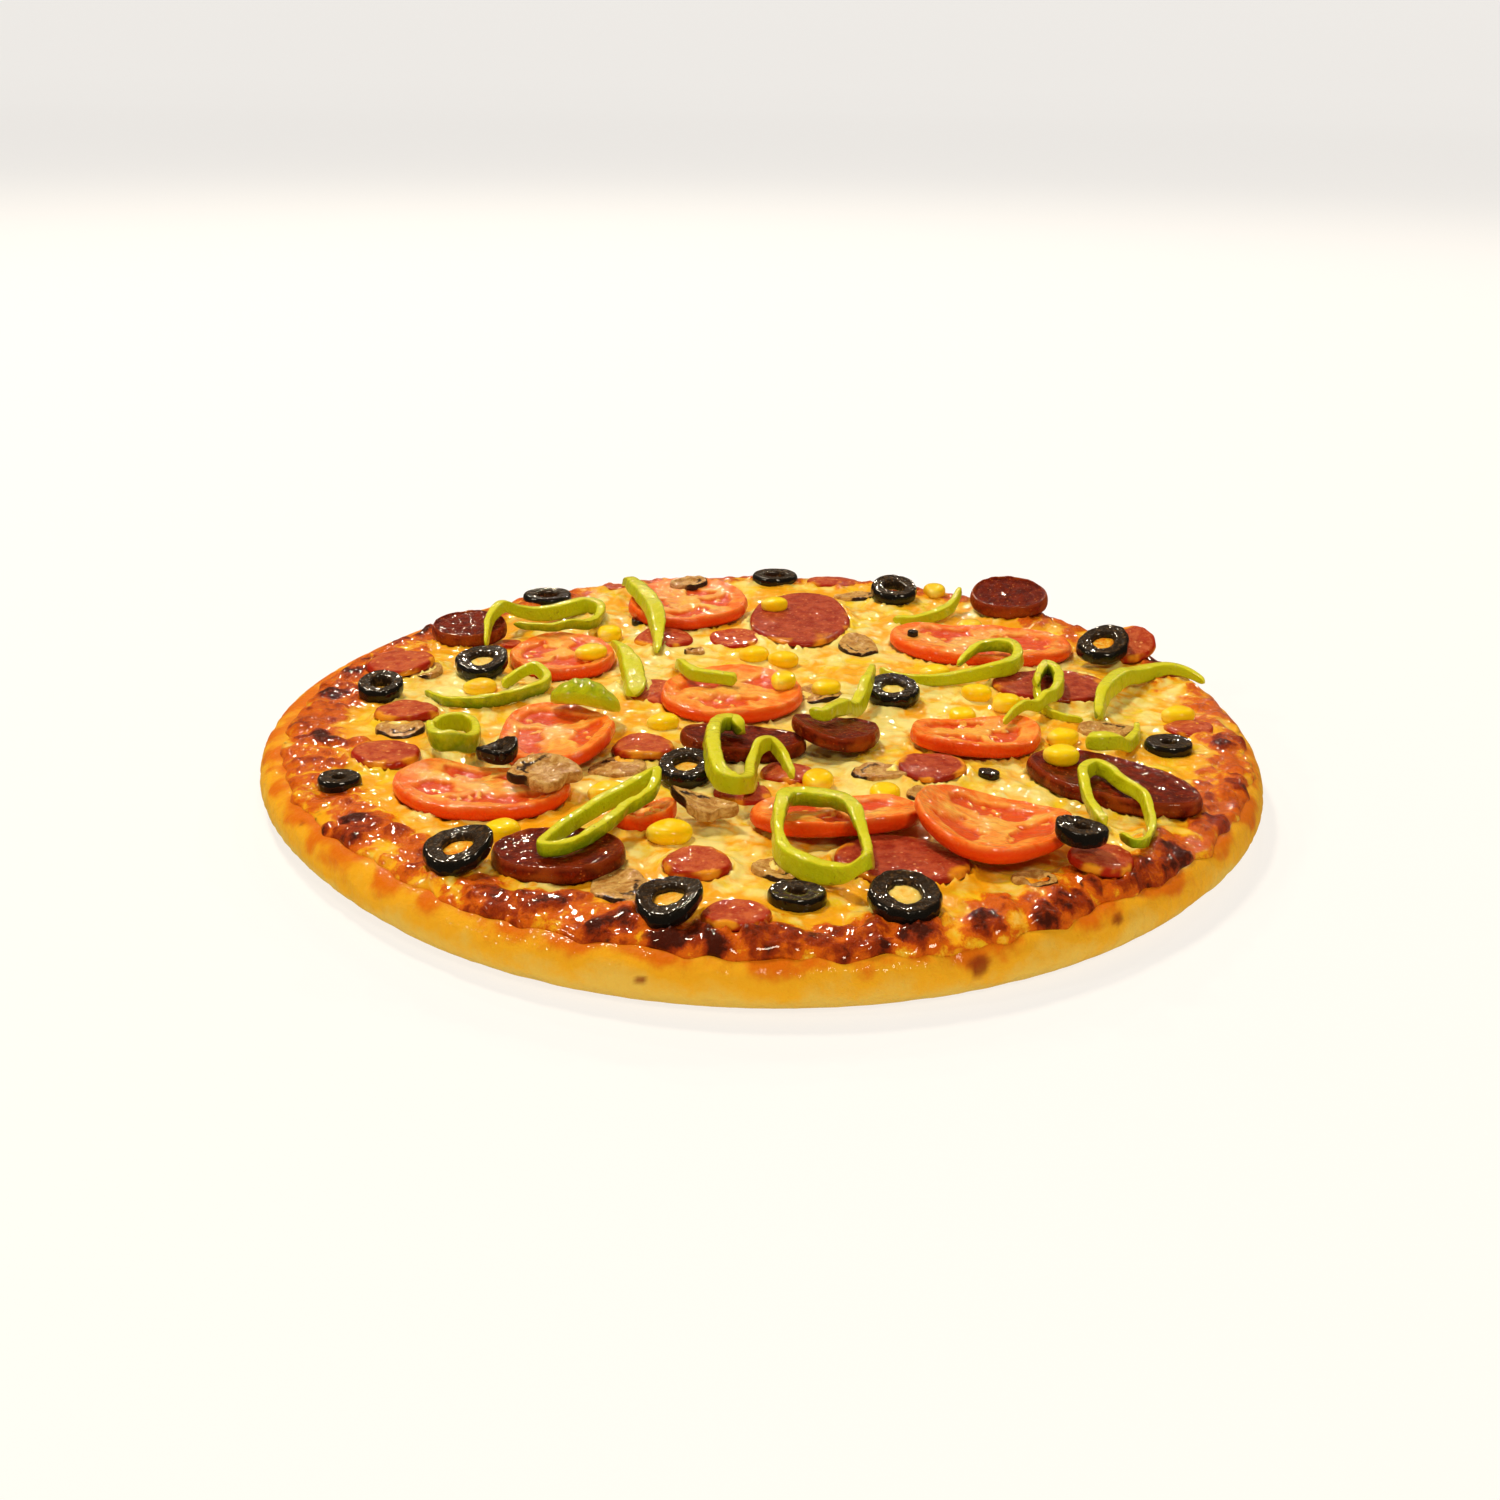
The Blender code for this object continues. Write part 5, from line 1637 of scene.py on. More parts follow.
class TomatoSlice(Slab):
    """A slice of tomato with its wall, septa, seed chambers and core."""

    kind = Kind.TOMATO
    top_rings = 40
    sides = 168
    most_seeds = 9

    def chambers(self, grid: SlabGrid) -> Array:
        """Gives how much of a seed chamber each place is.

        Args:
            grid: The slab's points.

        Returns:
            0 on the flesh, 1 in a chamber.
        """
        draw = random.Random(self.name + " chambers")
        count, turn = draw.choice((3, 4, 5)), draw.uniform(0.0, math.tau)
        bend = 1.1 * self.noise(grid, 14.0, 3)
        lobes = np.abs(np.sin(0.5 * count * (grid.angle - turn + bend)))
        outer = 1.0 - soft_step(grid.share + 0.16 * bend, 0.7, 0.78)
        ring = soft_step(grid.share + 0.3 * bend, 0.26, 0.38) * outer
        return soft_step(lobes, 0.42, 0.66) * ring * grid.top

    def seeds(self, grid: SlabGrid, chamber: Array) -> Array:
        """Scatters seeds in the chambers.

        Args:
            grid: The slab's points.
            chamber: How much of a chamber each place is.

        Returns:
            0 away from seeds to 1 at the middle of a seed.
        """
        draw = random.Random(self.name + " seeds")
        found = np.zeros_like(grid.x)
        inner = np.argwhere(chamber > 0.6).tolist()
        for row, column in draw.sample(inner, min(self.most_seeds, len(inner))):
            turn = grid.angle[row, column] + draw.uniform(-0.8, 0.8)
            dx, dy = grid.x - grid.x[row, column], grid.y - grid.y[row, column]
            along = dx * math.cos(turn) + dy * math.sin(turn)
            across = dy * math.cos(turn) - dx * math.sin(turn)
            near = np.hypot(along / 1.4, across / 0.8)
            found = np.maximum(found, np.clip(1.0 - near**2, 0.0, 1.0))
        return found * grid.top

    def relief(self, grid: SlabGrid) -> Array:
        """The cut face: chambers sunk, wall and septa standing, seeds on top.

        Args:
            grid: The slab's points.

        Returns:
            What is added to the height.
        """
        chamber = self.chambers(grid)
        uneven = 0.8 * self.noise(grid, 9.0, 3)
        wet = 0.16 * self.noise(grid, 2.0, 1, 40.0) * grid.top
        core = 0.5 * np.exp(-((grid.share / 0.2) ** 2)) * grid.top
        seeds = 0.55 * np.sqrt(self.seeds(grid, chamber))
        wall = 0.35 * wander(self.name + " wall", grid.angle) * grid.share**4
        return (uneven + wet + core + wall) * grid.level - 0.95 * chamber + seeds - 0.35 * grid.top

    def masks(self, grid: SlabGrid) -> dict[str, Array]:
        """The values that the tomato's material reads.

        Args:
            grid: The slab's points.

        Returns:
            Masks by name.
        """
        chamber = self.chambers(grid)
        seeds = self.seeds(grid, chamber)
        core = (1.0 - soft_step(grid.share, 0.1, 0.36)) * grid.top * (1.0 - chamber)
        uneven = 0.3 * self.noise(grid, 6.0, 2, 90.0)
        rays = wander(self.name + " veins", grid.angle + uneven, (5, 8, 13, 19), (1.0, 1.0, 0.9, 0.7))
        reach = soft_step(grid.share, 0.12, 0.3) * (1.0 - soft_step(grid.share + uneven, 0.6, 0.85))
        septa = (0.45 + 0.55 * soft_step(rays, -0.1, 0.35)) * reach * grid.top
        skin = np.clip(1.0 - grid.top, 0.0, 1.0) * (1.0 - 0.8 * soft_step(grid.level, 0.6, 1.0))
        return {
            "jelly": chamber,
            "seed": soft_step(seeds, 0.15, 0.6),
            "core": np.maximum(core, septa * (1.0 - 0.75 * chamber)),
            "skin": skin,
        }


class SausageSlice(Slab):
    """A round of sausage: almost flat, slightly cupped, with a thin darker skin."""

    kind = Kind.SAUSAGE
    top_rings = 14
    sides = 72

    def relief(self, grid: SlabGrid) -> Array:
        """Low waves, here a cupped and there a drooping edge."""
        edge = 0.55 * wander(self.name + " edge", grid.angle) * grid.share**3 - 0.45 * grid.share**8
        return (0.34 * self.noise(grid, 4.5, 3) + edge - 0.1) * grid.level


class SalamiSlice(Slab):
    """A larger, thinner slice of salami, gently waved."""

    kind = Kind.SALAMI
    top_rings = 24
    sides = 120
    rim = (0.92, 0.98)
    film_from = 0.7

    def relief(self, grid: SlabGrid) -> Array:
        """Broad waves and a fine grain."""
        edge = 0.4 * wander(self.name + " edge", grid.angle) * grid.share**3
        return (0.6 * self.noise(grid, 9.0, 4) + edge) * grid.level


class SucukSlice(Slab):
    """A thick slice of dark sausage with a coarse grain and a paler line round its upper edge."""

    kind = Kind.SUCUK
    top_rings = 26
    sides = 128

    def relief(self, grid: SlabGrid) -> Array:
        """A coarse grain, a sunk middle and a standing rim.

        Args:
            grid: The slab's points.

        Returns:
            What is added to the height.
        """
        rim = 0.4 * np.exp(-(((grid.share - 0.94) / 0.05) ** 2)) * soft_step(grid.level, 0.8, 1.0)
        grain = 0.32 * self.noise(grid, 2.8, 3) + 0.4 * self.noise(grid, 9.0, 2, 60.0)
        return grain * grid.level + rim - 0.25 * grid.top

    def masks(self, grid: SlabGrid) -> dict[str, Array]:
        """The values that the material reads."""
        line = np.exp(-(((grid.share - 0.965) / 0.02) ** 2)) * soft_step(grid.level, 0.7, 0.95)
        return {"rim": 0.7 * line, "film": self.film(grid, 0.8)}


class MushroomSlice(Slab):
    """A slice through a mushroom, shrivelled, with its dark gills."""

    kind = Kind.MUSHROOM
    top_rings = 16
    sides = 84

    def relief(self, grid: SlabGrid) -> Array:
        """Wrinkles, a sunk middle and a raised cap edge.

        Args:
            grid: The slab's points.

        Returns:
            What is added to the height.
        """
        wrinkles = 0.42 * self.noise(grid, 5.0, 2) + 0.3 * self.noise(grid, 2.0, 2, 30.0)
        sunk = -0.5 * (1.0 - soft_step(grid.share, 0.3, 0.8))
        return (wrinkles + sunk + 0.3 * wander(self.name + " edge", grid.angle) * grid.share**2) * grid.level

    def masks(self, grid: SlabGrid) -> dict[str, Array]:
        """The dark gills and the roasted edge.

        Args:
            grid: The slab's points.

        Returns:
            Masks by name.
        """
        towards = np.cos(grid.angle - random.Random(self.name).uniform(0.0, math.tau))
        uneven = self.noise(grid, 3.0, 3, 80.0)
        ring = 1.0 - np.abs(grid.share + 0.3 * uneven - 0.62) / 0.2
        band = np.clip(ring, 0.0, 1.0) * soft_step(towards, 0.1, 0.8)
        edge = soft_step(grid.share + 0.12 * uneven, 0.86, 0.99)
        edge *= 0.35 + 0.65 * soft_step(towards, -0.3, 0.5)
        return {"gill": np.maximum(0.8 * band, 0.9 * edge)}


class PepperCup(Slab):
    """A domed piece from a pepper's side, lying open side down."""

    kind = Kind.PEPPER
    top_rings = 22
    sides = 84
    crown: float = 2.2

    def relief(self, grid: SlabGrid) -> Array:
        """A dome with shallow ribs.

        Args:
            grid: The slab's points.

        Returns:
            What is added to the height.
        """
        dome = self.crown * (1.0 - grid.share**2) * soft_step(grid.level, 0.0, 1.0)
        ribs = 0.2 * np.sin(1.6 * grid.x + 0.8 * np.sin(0.5 * grid.y)) * grid.top
        waves = 0.2 * self.noise(grid, 5.0, 3) * grid.level
        return dome + ribs * soft_step(1.0 - grid.share, 0.0, 0.3) + waves

    def masks(self, grid: SlabGrid) -> dict[str, Array]:
        """Skin on the dome, a paler edge."""
        return {"skin": 0.45 * grid.top, "cut": 0.9 * (1.0 - soft_step(grid.level, 0.1, 0.5))}


class OliveRing(Slab):
    """A ring of black olive: a rounded skin, a dished cut face and a hole."""

    kind = Kind.OLIVE
    sides = 72
    hole: float = 0.46
    small_hole: float = 0.3
    small_size: float = 12.5

    def fit_hole(self, width: float) -> None:
        """Gives a small ring a small hole."""
        if width < self.small_size:
            self.hole = self.small_hole

    def shape(self) -> Shape:
        """Builds the ring.

        Returns:
            Its points, faces and masks, in the pizza's frame.
        """
        section = (
            (self.hole, 0.15, 0.6), (self.hole + 0.06, 0.0, 0.3), (0.86, 0.0, 0.0), (0.95, 0.06, 0.0),
            (1.0, 0.3, 0.0), (1.0, 0.6, 0.0), (0.98, 0.82, 0.0), (0.93, 0.95, 0.1), (0.9, 0.985, 0.75),
            (0.84, 0.965, 1.0), (0.5 * (0.84 + self.hole), 0.92, 1.0), (self.hole + 0.09, 0.95, 1.0),
            (self.hole + 0.03, 0.9, 1.0), (self.hole, 0.75, 0.9), (self.hole - 0.01, 0.45, 0.9),
        )
        angle = around(self.sides)
        ragged = 0.1 * wander(self.name + " hole", angle)
        points, cut = [], []
        for share, level, bare in section:
            uneven = ragged * (share < self.hole + 0.1)
            x, y = polar(share * (1.0 + uneven) * self.lie.reach(angle), angle)
            z = self.lie.under(x, y) + level * self.thickness
            z += 0.15 * level * self.ripple.layered(np.stack([x, y, z], axis=1), 3.0, 2)
            points.append(np.stack([self.lie.middle[0] + x, self.lie.middle[1] + y, z], axis=1))
            cut.append(np.full(self.sides, bare))
        faces = looped(len(section), self.sides)
        return np.concatenate(points), faces, {"cut": np.concatenate(cut)}


class OliveBit(Slab):
    """A torn bit of black olive."""

    top_rings = 8
    sides = 40

    def masks(self, grid: SlabGrid) -> dict[str, Array]:
        """Its paler flesh shows on top."""
        return {"cut": 0.6 * grid.top}


# For each olive ring that cheese has run into: how browned the cheese is and how much of the ring it fills.
FILLINGS: dict[str, Pair] = {
    "olive_2": (0.0, 0.62), "olive_4": (0.28, 0.6), "olive_5": (0.2, 0.55), "olive_6": (0.0, 0.6),
    "olive_8": (0.3, 0.6), "olive_10": (0.12, 0.72), "olive_11": (0.2, 0.6),
}

SLAB_KINDS: dict[str, type[Slab]] = {
    maker.kind.value: maker
    for maker in (TomatoSlice, SalamiSlice, SausageSlice, SucukSlice, MushroomSlice, OliveRing, PepperCup)
}


class Finishes:
    """The materials of the cheese and the toppings, one for each kind."""

    def __init__(self) -> None:
        """Builds them all."""
        self.cheese = CheeseFinish().material()
        self.by_kind = {
            Kind.TOMATO: TomatoFinish().material(),
            Kind.SALAMI: SALAMI_FINISH.material(),
            Kind.SAUSAGE: SAUSAGE_FINISH.material(),
            Kind.SUCUK: SUCUK_FINISH.material(),
            Kind.MUSHROOM: MushroomFinish().material(),
            Kind.OLIVE: OliveFinish().material(),
            Kind.PEPPER: PepperFinish().material(),
        }
        self.corn = CornFinish().material()


@dataclass
class Slices:
    """Every slice that is a solid of its own."""

    solids: Solids
    finishes: Finishes
    filling_section: Line = (
        (0.5, 0.05), (1.0, 0.05), (1.0, 0.5), (0.9, 0.85), (0.7, 1.0), (0.4, 1.0), (0.15, 0.9),
    )
    filling_sides: int = 48

    def build(self) -> list[Piece]:
        """Builds a finer slice for each solid one.

        Returns:
            The slices, and the cheese in the olive rings as one piece.
        """
        others = {strip.name for strip in STRIPS} | {"dough", "cheese"}
        pieces = []
        body = Batch()
        for name in sorted(self.solids.nodes.keys() - others):
            maker = SLAB_KINDS[name.split("_")[0]]
            slab = maker(name, Lie.of_solid(self.solids, name), THICKNESS[maker.kind])
            if isinstance(slab, OliveRing):
                low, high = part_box(name)
                slab.fit_hole(min(high.x - low.x, high.y - low.y) / MM)
            if name in FILLINGS:
                body.add(self.fill(slab, *FILLINGS[name]))
            material = self.finishes.by_kind[maker.kind]
            pieces.append(add_piece(f"{name}_slice", slab.shape(), material, (name,)))
        return [*pieces, add_piece("olive_fillings", body.shape(), self.finishes.cheese)]

    def fill(self, ring: OliveRing, browned: float, full: float) -> Shape:
        """Shapes the cheese that has run into a ring.

        Args:
            ring: The olive ring.
            browned: How browned it is.
            full: How much of the ring's height it fills.

        Returns:
            Its points, faces and masks.
        """
        angle = around(self.filling_sides)
        reach = ring.lie.reach(angle) * (ring.hole + 0.05)
        rings = []
        for share, level in self.filling_section:
            x, y = polar(share * reach, angle)
            height = ring.lie.under(x, y) + level * full * ring.thickness
            rings.append(np.stack([x + ring.lie.middle[0], y + ring.lie.middle[1], height], axis=1))
        points, faces = closed_rings(np.array(rings))
        points[:, 2] += 0.35 * ring.ripple.layered(points + 300.0, 3.0, 2)
        zero = np.zeros(len(points))
        return points, faces, {"brown": zero + browned, "char": zero, "oil": zero}


@dataclass
class Scraps:
    """The slices that the cheese has closed round, laid into the cheese."""

    solids: Solids
    finishes: Finishes
    cheese: Cheese
    reach: float = 131.0
    thickness: float = 2.4
    on_slices: float = 20.0
    roughness: float = 0.05
    mushroom_roughness: float = 0.12

    def lie_of(self, scrap: Scrap, name: str, roughness: float) -> Lie:
        """Finds how a scrap lies in the cheese.

        Args:
            scrap: The scrap.
            name: Its name, which gives its outline.
            roughness: How uneven its outline is, as a share.

        Returns:
            How it lies, its top a little proud of the cheese or of the slice under it.
        """
        middle = VIEW.on_pizza(scrap.seen_at, scrap.level, self.reach)
        xs, ys = np.meshgrid(np.linspace(-0.4, 0.4, 9), np.linspace(-0.4, 0.4, 9))
        x, y = xs.ravel() * scrap.size[0], ys.ravel() * scrap.size[1]
        levels = self.cheese.height_at(middle[0] + x, middle[1] + y)
        if scrap.level > self.on_slices:
            tree = self.solids.tree(*self.solids.nodes)
            levels = np.array([top_at(tree, middle[0] + a, middle[1] + b) for a, b in zip(x, y)])
        surface = np.linalg.lstsq(Lie.terms(x, y), levels, rcond=None)[0]
        surface[0] += scrap.proud - self.thickness
        return Lie(middle, scrap.outline(name, roughness), surface)

    def build(self) -> list[Piece]:
        """Builds one piece for each kind of scrap.

        Returns:
            The pieces.
        """
        makers = {Kind.SAUSAGE: SausageSlice, Kind.MUSHROOM: MushroomSlice, Kind.OLIVE: OliveBit}
        pieces = []
        count = 0
        for kind, scraps in SCRAPS.items():
            body = Batch()
            roughness = self.mushroom_roughness if kind is Kind.MUSHROOM else self.roughness
            for scrap in scraps:
                name = f"scrap {count}"
                body.add(makers[kind](name, self.lie_of(scrap, name, roughness), self.thickness).shape())
                count += 1
            material = self.finishes.by_kind[kind]
            pieces.append(add_piece(f"{kind.value}_bits", body.shape(), material))
        return pieces


@dataclass
class SmallOlives:
    """Olive rings that lie so deep in the cheese that they are one solid with it."""

    solids: Solids
    finishes: Finishes

    def build(self) -> list[Piece]:
        """Builds the rings.

        Returns:
            One piece with all of them.
        """
        tree = self.solids.tree("cheese")
        thickness = THICKNESS[Kind.OLIVE]
        body = Batch()
        for index, olive in enumerate(SUNK_OLIVES):
            x, y = VIEW.plan_point(olive.seen_at, SMALL_PIECE_LEVEL)
            ring = 0.36 * olive.size[1]
            tops = [top_at(tree, x + dx, y + dy) for dx, dy in zip(*polar(ring, around(8)))]
            surface = np.array([max(tops) - thickness, 0, 0, 0, 0, 0])
            outline = olive.outline(f"sunk_olive_{index + 1}", 0.04)
            slab = OliveRing(f"small olive {index}", Lie((x, y), outline, surface), thickness)
            slab.fit_hole(min(olive.size))
            body.add(slab.shape())
        return [add_piece("olives_in_cheese", body.shape(), self.finishes.by_kind[Kind.OLIVE])]


@dataclass
class Sweetcorn:
    """The grains of sweetcorn, each sunk into what carries it."""

    solids: Solids
    finishes: Finishes
    sides: int = 28
    rings: int = 16

    def grain(self, index: int, grain: Grain, tree: BVHTree) -> Shape:
        """Shapes one grain: plump at one end, narrow and pale at the other.

        Args:
            index: Its place in the table, which gives its size.
            grain: The grain.
            tree: The solid that carries it.

        Returns:
            Its points, faces and masks.
        """
        draw = random.Random(index)
        long, wide, high = (size * draw.uniform(0.93, 1.07) for size in GRAIN_SIZE)
        at = VIEW.plan_point(grain.seen_at, SMALL_PIECE_LEVEL)
        foot = top_at(tree, *at) - high
        long, wide, high = long * grain.plump, wide * grain.plump, high * (0.5 + 0.5 * grain.plump)
        angle = around(self.sides)
        rings, tips = [], []
        for lift in np.linspace(-0.94, 0.985, self.rings):
            spread = (1.0 - abs(lift) ** 2.6) ** (1.0 / 2.2)
            x = np.cos(angle) * spread
            y = np.sin(angle) * spread * (1.0 - 0.3 * np.clip(-x, 0.0, 1.0) ** 1.3)
            dimple = 0.1 * math.exp(-((spread / 0.55) ** 2)) if lift > 0 else 0.0
            z = 0.5 + 0.5 * lift - dimple - 0.12 * np.clip(-x, 0.0, 1.0) * max(lift, 0.0)
            rings.append(np.stack([0.5 * long * x, 0.5 * wide * y, high * z], axis=1))
            tips.append(soft_step(-x, 0.55, 0.95))
        turn = math.radians(grain.turn)
        rings = np.array(rings)
        uneven = Ripple(f"grain {index}").at(rings.reshape(-1, 3) + 9.0 * index, 4.0)
        bulge = 1.0 + 0.035 * uneven.reshape(rings.shape[:2])
        x = rings[..., 0] * bulge * math.cos(turn) - rings[..., 1] * bulge * math.sin(turn) + at[0]
        y = rings[..., 0] * bulge * math.sin(turn) + rings[..., 1] * bulge * math.cos(turn) + at[1]
        points, faces = closed_rings(np.stack([x, y, rings[..., 2] + foot], axis=-1))
        tip = np.concatenate([np.array(tips).ravel(), [0.0, 0.0]])
        return points, faces, {"tip": tip}

    def build(self) -> list[Piece]:
        """Builds the grains.

        Returns:
            One piece with all of them.
        """
        trees = {name: self.solids.tree(name) for name in sorted({grain.carrier for grain in GRAINS})}
        body = Batch()
        for index, grain in enumerate(GRAINS):
            body.add(self.grain(index, grain, trees[grain.carrier]))
        return [add_piece("sweetcorn", body.shape(), self.finishes.corn)]


@dataclass
class Peppers:
    """The ribbons of green pepper, standing on edge or lying over what is below them."""

    solids: Solids
    finishes: Finishes
    reach: float = 141.0
    fineness: int = 6
    round_sides: int = 18

    def line(self, strip: Strip) -> Array:
        """Spreads a ribbon's stations evenly along its smooth line.

        Args:
            strip: The ribbon.

        Returns:
            The stations in plan, as the solid has them.
        """
        places = [np.array(VIEW.on_pizza(pixel, strip.level, self.reach)) for pixel in strip.seen_along]
        fine = smooth_through(places, 12, strip.closed)
        travelled = np.concatenate([[0.0], np.cumsum(np.linalg.norm(np.diff(fine, axis=0), axis=1))])
        stops = travelled[-1] * strip.stops()
        return np.stack([np.interp(stops, travelled, fine[:, k]) for k in range(2)], axis=1)

    def along(self, values: Row, strip: Strip) -> Array:
        """A few values blended along a ribbon's stations."""
        values = (*values, values[0]) if strip.closed else values
        return np.interp(strip.stops(), np.linspace(0.0, 1.0, len(values)), values)

    def floors(self, line: Array, widths: Array, corners: Array, closed: bool) -> Array:
        """Reads from the solid how high each station lies.

        Args:
            line: The stations.
            widths: The ribbon's widths.
            corners: The solid's corners.
            closed: True for a ring.

        Returns:
            The height under each station.
        """
        side = sideways(line, closed)
        found = []
        for place, way, width in zip(line, side, widths):
            spot = place - 0.4 * width * way
            away = np.hypot(corners[:, 0] - spot[0], corners[:, 1] - spot[1])
            near = corners[away < max(0.35, away.min() + 0.05)]
            found.append(near[:, 2].min())
        return np.array(found)

    def shape(self, strip: Strip) -> Shape:
        """Builds a ribbon with a rounded section.

        Args:
            strip: The ribbon.

        Returns:
            Its points, faces and masks.
        """
        line = self.line(strip)
        widths, heights = self.along(strip.width, strip), self.along(strip.height, strip)
        corners = self.solids.points(strip.joined_to or strip.name)
        floors = self.floors(line, widths, corners, strip.closed)
        stations = np.column_stack([line, floors, widths, heights])
        fine = smooth_through(list(stations), self.fineness, strip.closed)
        if strip.closed:
            fine = fine[:-1]
        line, floors, widths, heights = fine[:, :2], fine[:, 2], fine[:, 3], fine[:, 4]
        count = len(fine)
        side = sideways(line, strip.closed)
        ripple = Ripple(strip.name)
        uneven = ripple.layered(np.column_stack([line, floors]), 7.0, 2)
        taper = np.ones(count)
        if not strip.closed:
            ends = np.minimum(np.arange(count), np.arange(count)[::-1]) / (0.5 * self.fineness)
            taper = np.sqrt(np.clip(1.0 - (1.0 - np.clip(ends, 0.0, 1.0)) ** 2, 0.04, 1.0))
        turn = around(self.round_sides)
        across = np.sign(np.cos(turn)) * np.abs(np.cos(turn)) ** 0.5
        upward = np.sign(np.sin(turn)) * np.abs(np.sin(turn)) ** 0.5
        half_width = (0.5 * widths * taper * (0.84 + 0.14 * uneven))[:, None]
        half_height = (0.5 * heights * taper)[:, None]
        shift = 0.2 * upward * half_width
        hollow = 0.22 * half_width * (1.0 - upward**2) * (across > 0)
        reach = (across * half_width - shift - hollow)[..., None]
        level = (floors + 0.5 * heights)[:, None] + upward * half_height * (0.97 + 0.06 * uneven)[:, None]
        rings = np.concatenate([line[:, None] + side[:, None] * reach, level[..., None]], axis=-1)
        flat = rings.reshape(-1, 3)
        wobble = 0.45 * ripple.layered(flat + 13.0, 4.0, 3)
        push = np.column_stack([np.repeat(side, self.round_sides, axis=0), np.full(len(flat), 0.6)])
        points = flat + wobble[:, None] * push
        faces = looped(count, self.round_sides)
        if not strip.closed:
            points, faces = closed_rings(points.reshape(rings.shape))
        spare = len(points) - len(flat)
        # Skin colour on the outer face plus painted shade: the mask grows towards the bottom of the ribbon,
        # so the skin darkens there.
        skin = soft_step(-across, -0.1, 0.75) * (0.75 - 0.35 * upward)
        cut = soft_step(np.abs(upward), 0.8, 0.97)
        masks = {"skin": np.tile(skin, count), "cut": np.tile(cut, count)}
        masks = {name: np.pad(values, (0, spare)) for name, values in masks.items()}
        return points, [face[::-1] for face in faces], masks

    def build(self) -> list[Piece]:
        """Builds one piece for each solid ribbon, a tail joined to its own.

        Returns:
            The pieces.
        """
        pieces = []
        for name in [strip.name for strip in STRIPS if not strip.joined_to]:
            body = Batch()
            for strip in STRIPS:
                if name in (strip.name, strip.joined_to):
                    body.add(self.shape(strip))
            finish = self.finishes.by_kind[Kind.PEPPER]
            pieces.append(add_piece(f"{name}_ribbon", body.shape(), finish, (name,)))
        return pieces


def smooth_through(places: list[Array], steps: int, closed: bool) -> Array:
    """Draws a smooth curve through places.

    Args:
        places: Where it goes through.
        steps: How many points it gets between two places.
        closed: True to join its ends.

    Returns:
        The curve's points; on a closed one the first is repeated at the end.
    """
    last = len(places) if closed else len(places) - 1
    fine = []
    for i in range(last):
        if closed:
            a, b, c, d = (places[(i + k) % len(places)] for k in (-1, 0, 1, 2))
        else:
            b, c = places[i], places[i + 1]
            a = places[i - 1] if i else 2.0 * b - c
            d = places[i + 2] if i + 2 < len(places) else 2.0 * c - b
        for t in np.linspace(0.0, 1.0, steps, endpoint=False):
            curve = 2 * b + (c - a) * t + (2 * a - 5 * b + 4 * c - d) * t**2 + (3 * b - a - 3 * c + d) * t**3
            fine.append(0.5 * curve)
    fine.append(places[0] if closed else places[-1])
    return np.array(fine)


def sideways(line: Array, closed: bool) -> Array:
    """Gives the direction to the right of a line at each of its points.

    Args:
        line: The line in plan.
        closed: True where its ends join.

    Returns:
        Unit directions in plan.
    """
    ahead = np.roll(line, -1, axis=0) - np.roll(line, 1, axis=0)
    if not closed:
        ahead[0], ahead[-1] = line[1] - line[0], line[-1] - line[-2]
    ahead = ahead / np.linalg.norm(ahead, axis=1)[:, None]
    return np.stack([ahead[:, 1], -ahead[:, 0]], axis=1)


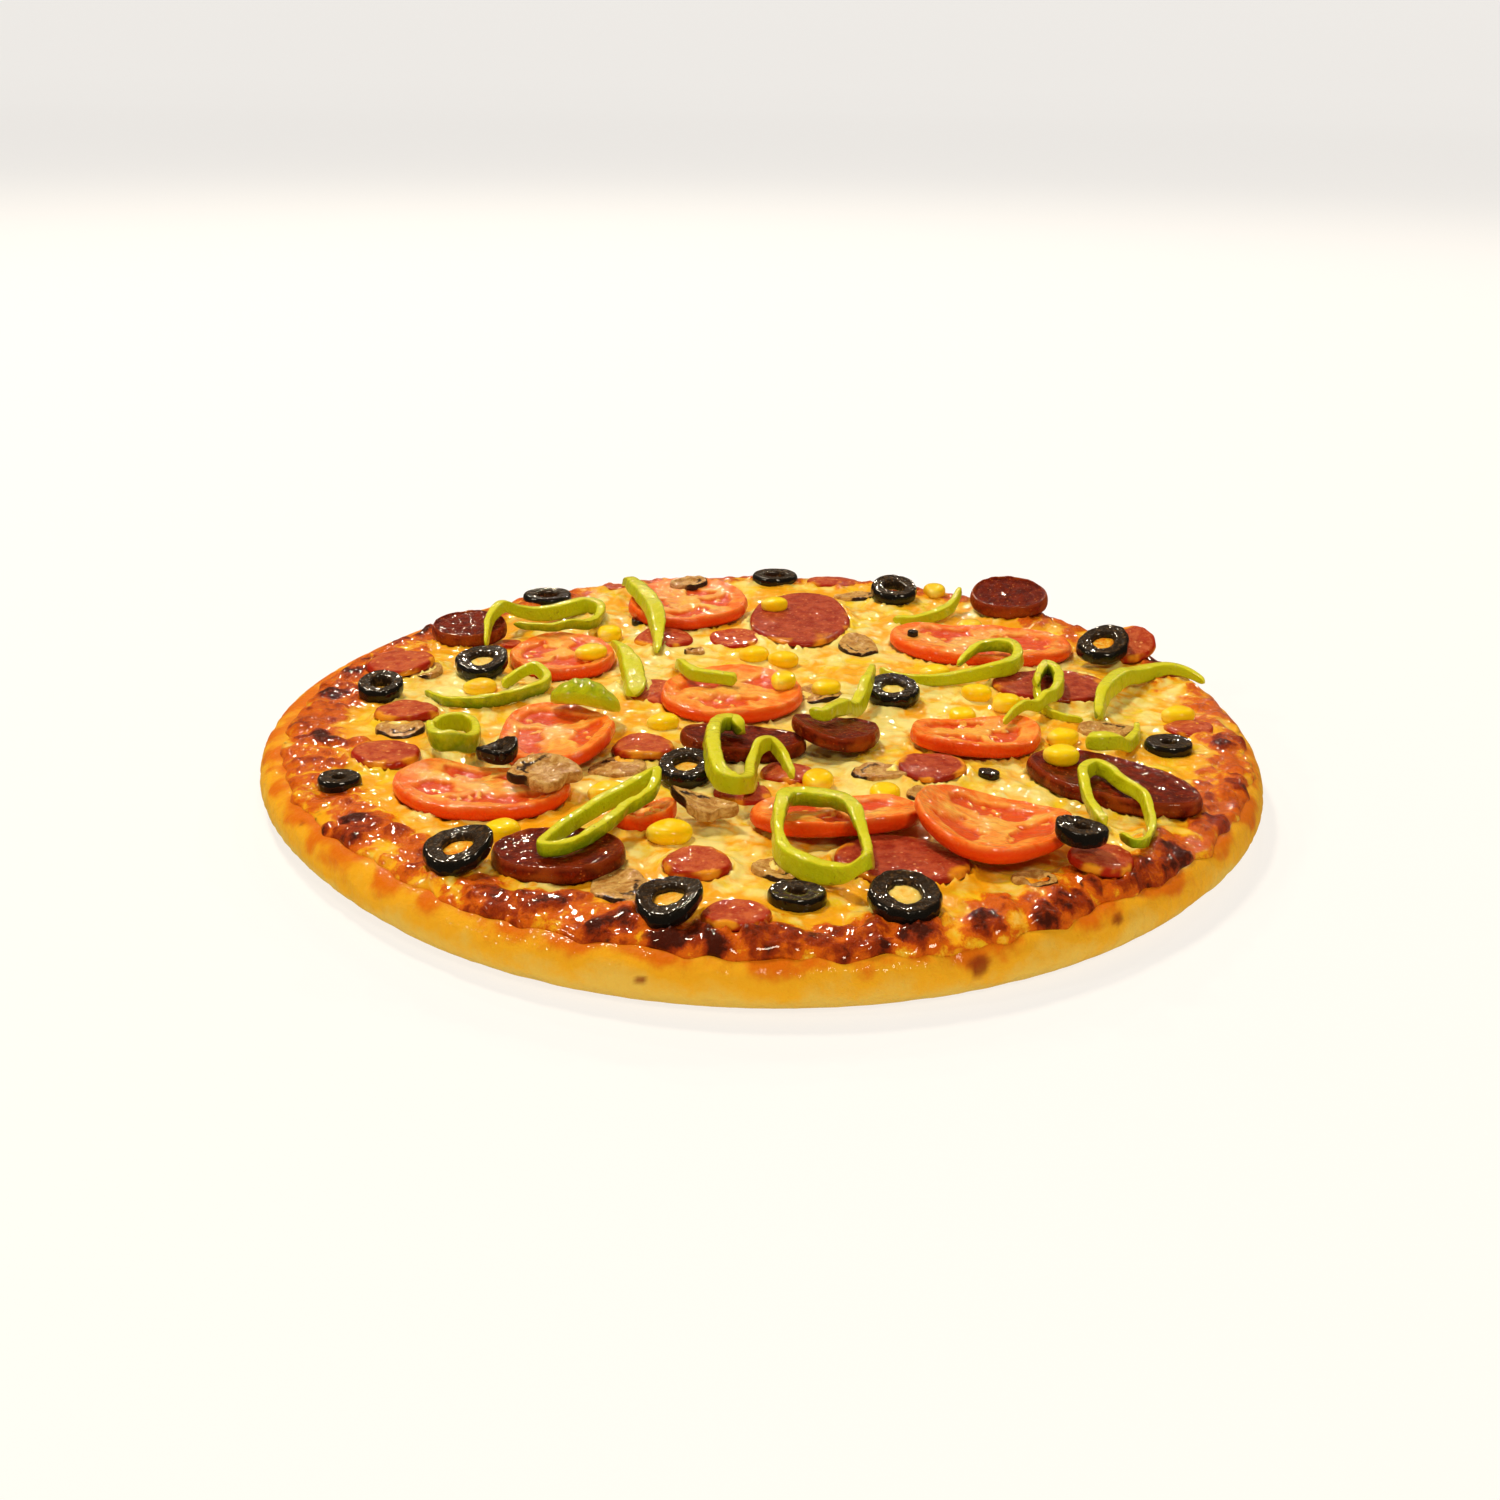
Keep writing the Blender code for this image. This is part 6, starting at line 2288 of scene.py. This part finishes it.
@dataclass
class Studio:
    """A plain pale floor and soft light."""

    floor_level: float = -0.0003
    floor_section: Line = (
        (0.5, 0), (4, 0), (8, 0), (9.5, 0.1), (10.5, 0.35), (11, 0.75), (11.4, 1.6), (11.6, 3.4),
    )
    floor_sides: int = 96
    floor_colour: Colour = (0.22, 0.22, 0.22)
    floor_glow: Colour = (1.0, 0.97, 0.93)
    floor_shine: float = 0.78
    sky: float = 0.09
    sky_tint: Colour = (1.0, 0.8, 0.55)
    light_tint: Colour = (1.0, 0.88, 0.68)
    lamps: tuple[tuple[str, Triple, float, float], ...] = (
        ("key", (-0.7, 0.9, 2.0), 0.3, 34.0),
        ("fill", (0.7, -1.8, 1.9), 0.5, 26.0),
        ("side", (-1.8, -0.8, 1.2), 0.2, 10.0),
        ("glint 0", (-1.1, 1.7, 1.5), 0.06, 6.0),
        ("glint 1", (-0.3, 2.0, 1.25), 0.06, 6.0),
        ("glint 2", (0.5, 2.0, 1.5), 0.06, 6.0),
        ("glint 3", (1.3, 1.5, 1.2), 0.06, 6.0),
    )

    def light(self, name: str, place: Triple, size: float, power: float) -> None:
        """Adds a soft light that faces the pizza.

        Args:
            name: Its name.
            place: Where it hangs, in metres.
            size: The side of its square, in metres.
            power: How strong it is, in watts.
        """
        data = bpy.data.lights.new(name, "AREA")
        data.size = size
        data.energy = power
        data.color = self.light_tint
        lamp = bpy.data.objects.new(name, data)
        lamp.location = place
        lamp.rotation_euler = (-Vector(place)).to_track_quat("-Z", "Y").to_euler()
        bpy.context.scene.collection.objects.link(lamp)

    def floor(self) -> None:
        """Lays the floor, which curves up far behind what stands on it."""
        mesh = bpy.data.meshes.new("floor")
        corners = [(0.0, 0.0, self.floor_level)]
        for reach, height in self.floor_section:
            ring = zip(*polar(reach, around(self.floor_sides)))
            corners += [(x, y, self.floor_level + height) for x, y in ring]
        faces = fan(1, self.floor_sides, 0)
        for k in range(len(self.floor_section) - 1):
            outer, inner = 1 + (k + 1) * self.floor_sides, 1 + k * self.floor_sides
            faces += ring_quads(outer, inner, self.floor_sides)
        mesh.from_pydata(corners, [], faces)
        mesh.shade_smooth()
        mix = Palette("pale floor")
        mix.shader.inputs["Emission Color"].default_value = (*self.floor_glow, 1.0)
        mix.shader.inputs["Emission Strength"].default_value = self.floor_shine
        mesh.materials.append(mix.finish(self.floor_colour, 0.9))
        floor = bpy.data.objects.new("floor", mesh)
        bpy.context.scene.collection.objects.link(floor)
        floor.visible_glossy = False

    def build(self) -> None:
        """Sets the floor, the lights and the world."""
        self.floor()
        for lamp in self.lamps:
            self.light(*lamp)
        world = bpy.data.worlds.new("studio")
        world.use_nodes = True
        sky = world.node_tree.nodes["Background"].inputs
        sky["Color"].default_value = (*self.sky_tint, 1.0)
        sky["Strength"].default_value = self.sky
        bpy.context.scene.world = world
        bpy.context.scene.view_settings.view_transform = "Standard"


def main() -> None:
    """Builds the pizza from the dough up and reports each piece."""
    logging.basicConfig(level=logging.INFO, format="%(message)s")
    solids = Solids(frame["nodes"])
    finishes = Finishes()
    dough = Dough()
    cheese = Cheese(dough, solids, finishes.cheese)
    slices, scraps = Slices(solids, finishes), Scraps(solids, finishes, cheese)
    olives, peppers = SmallOlives(solids, finishes), Peppers(solids, finishes)
    for maker in (dough, cheese, slices, scraps, olives, peppers, Sweetcorn(solids, finishes)):
        for piece in maker.build():
            log.info("built %s with %d points", piece.name, len(piece.data.vertices))
    VIEW.add_camera()
    Studio().build()


if __name__ == "__main__":
    main()
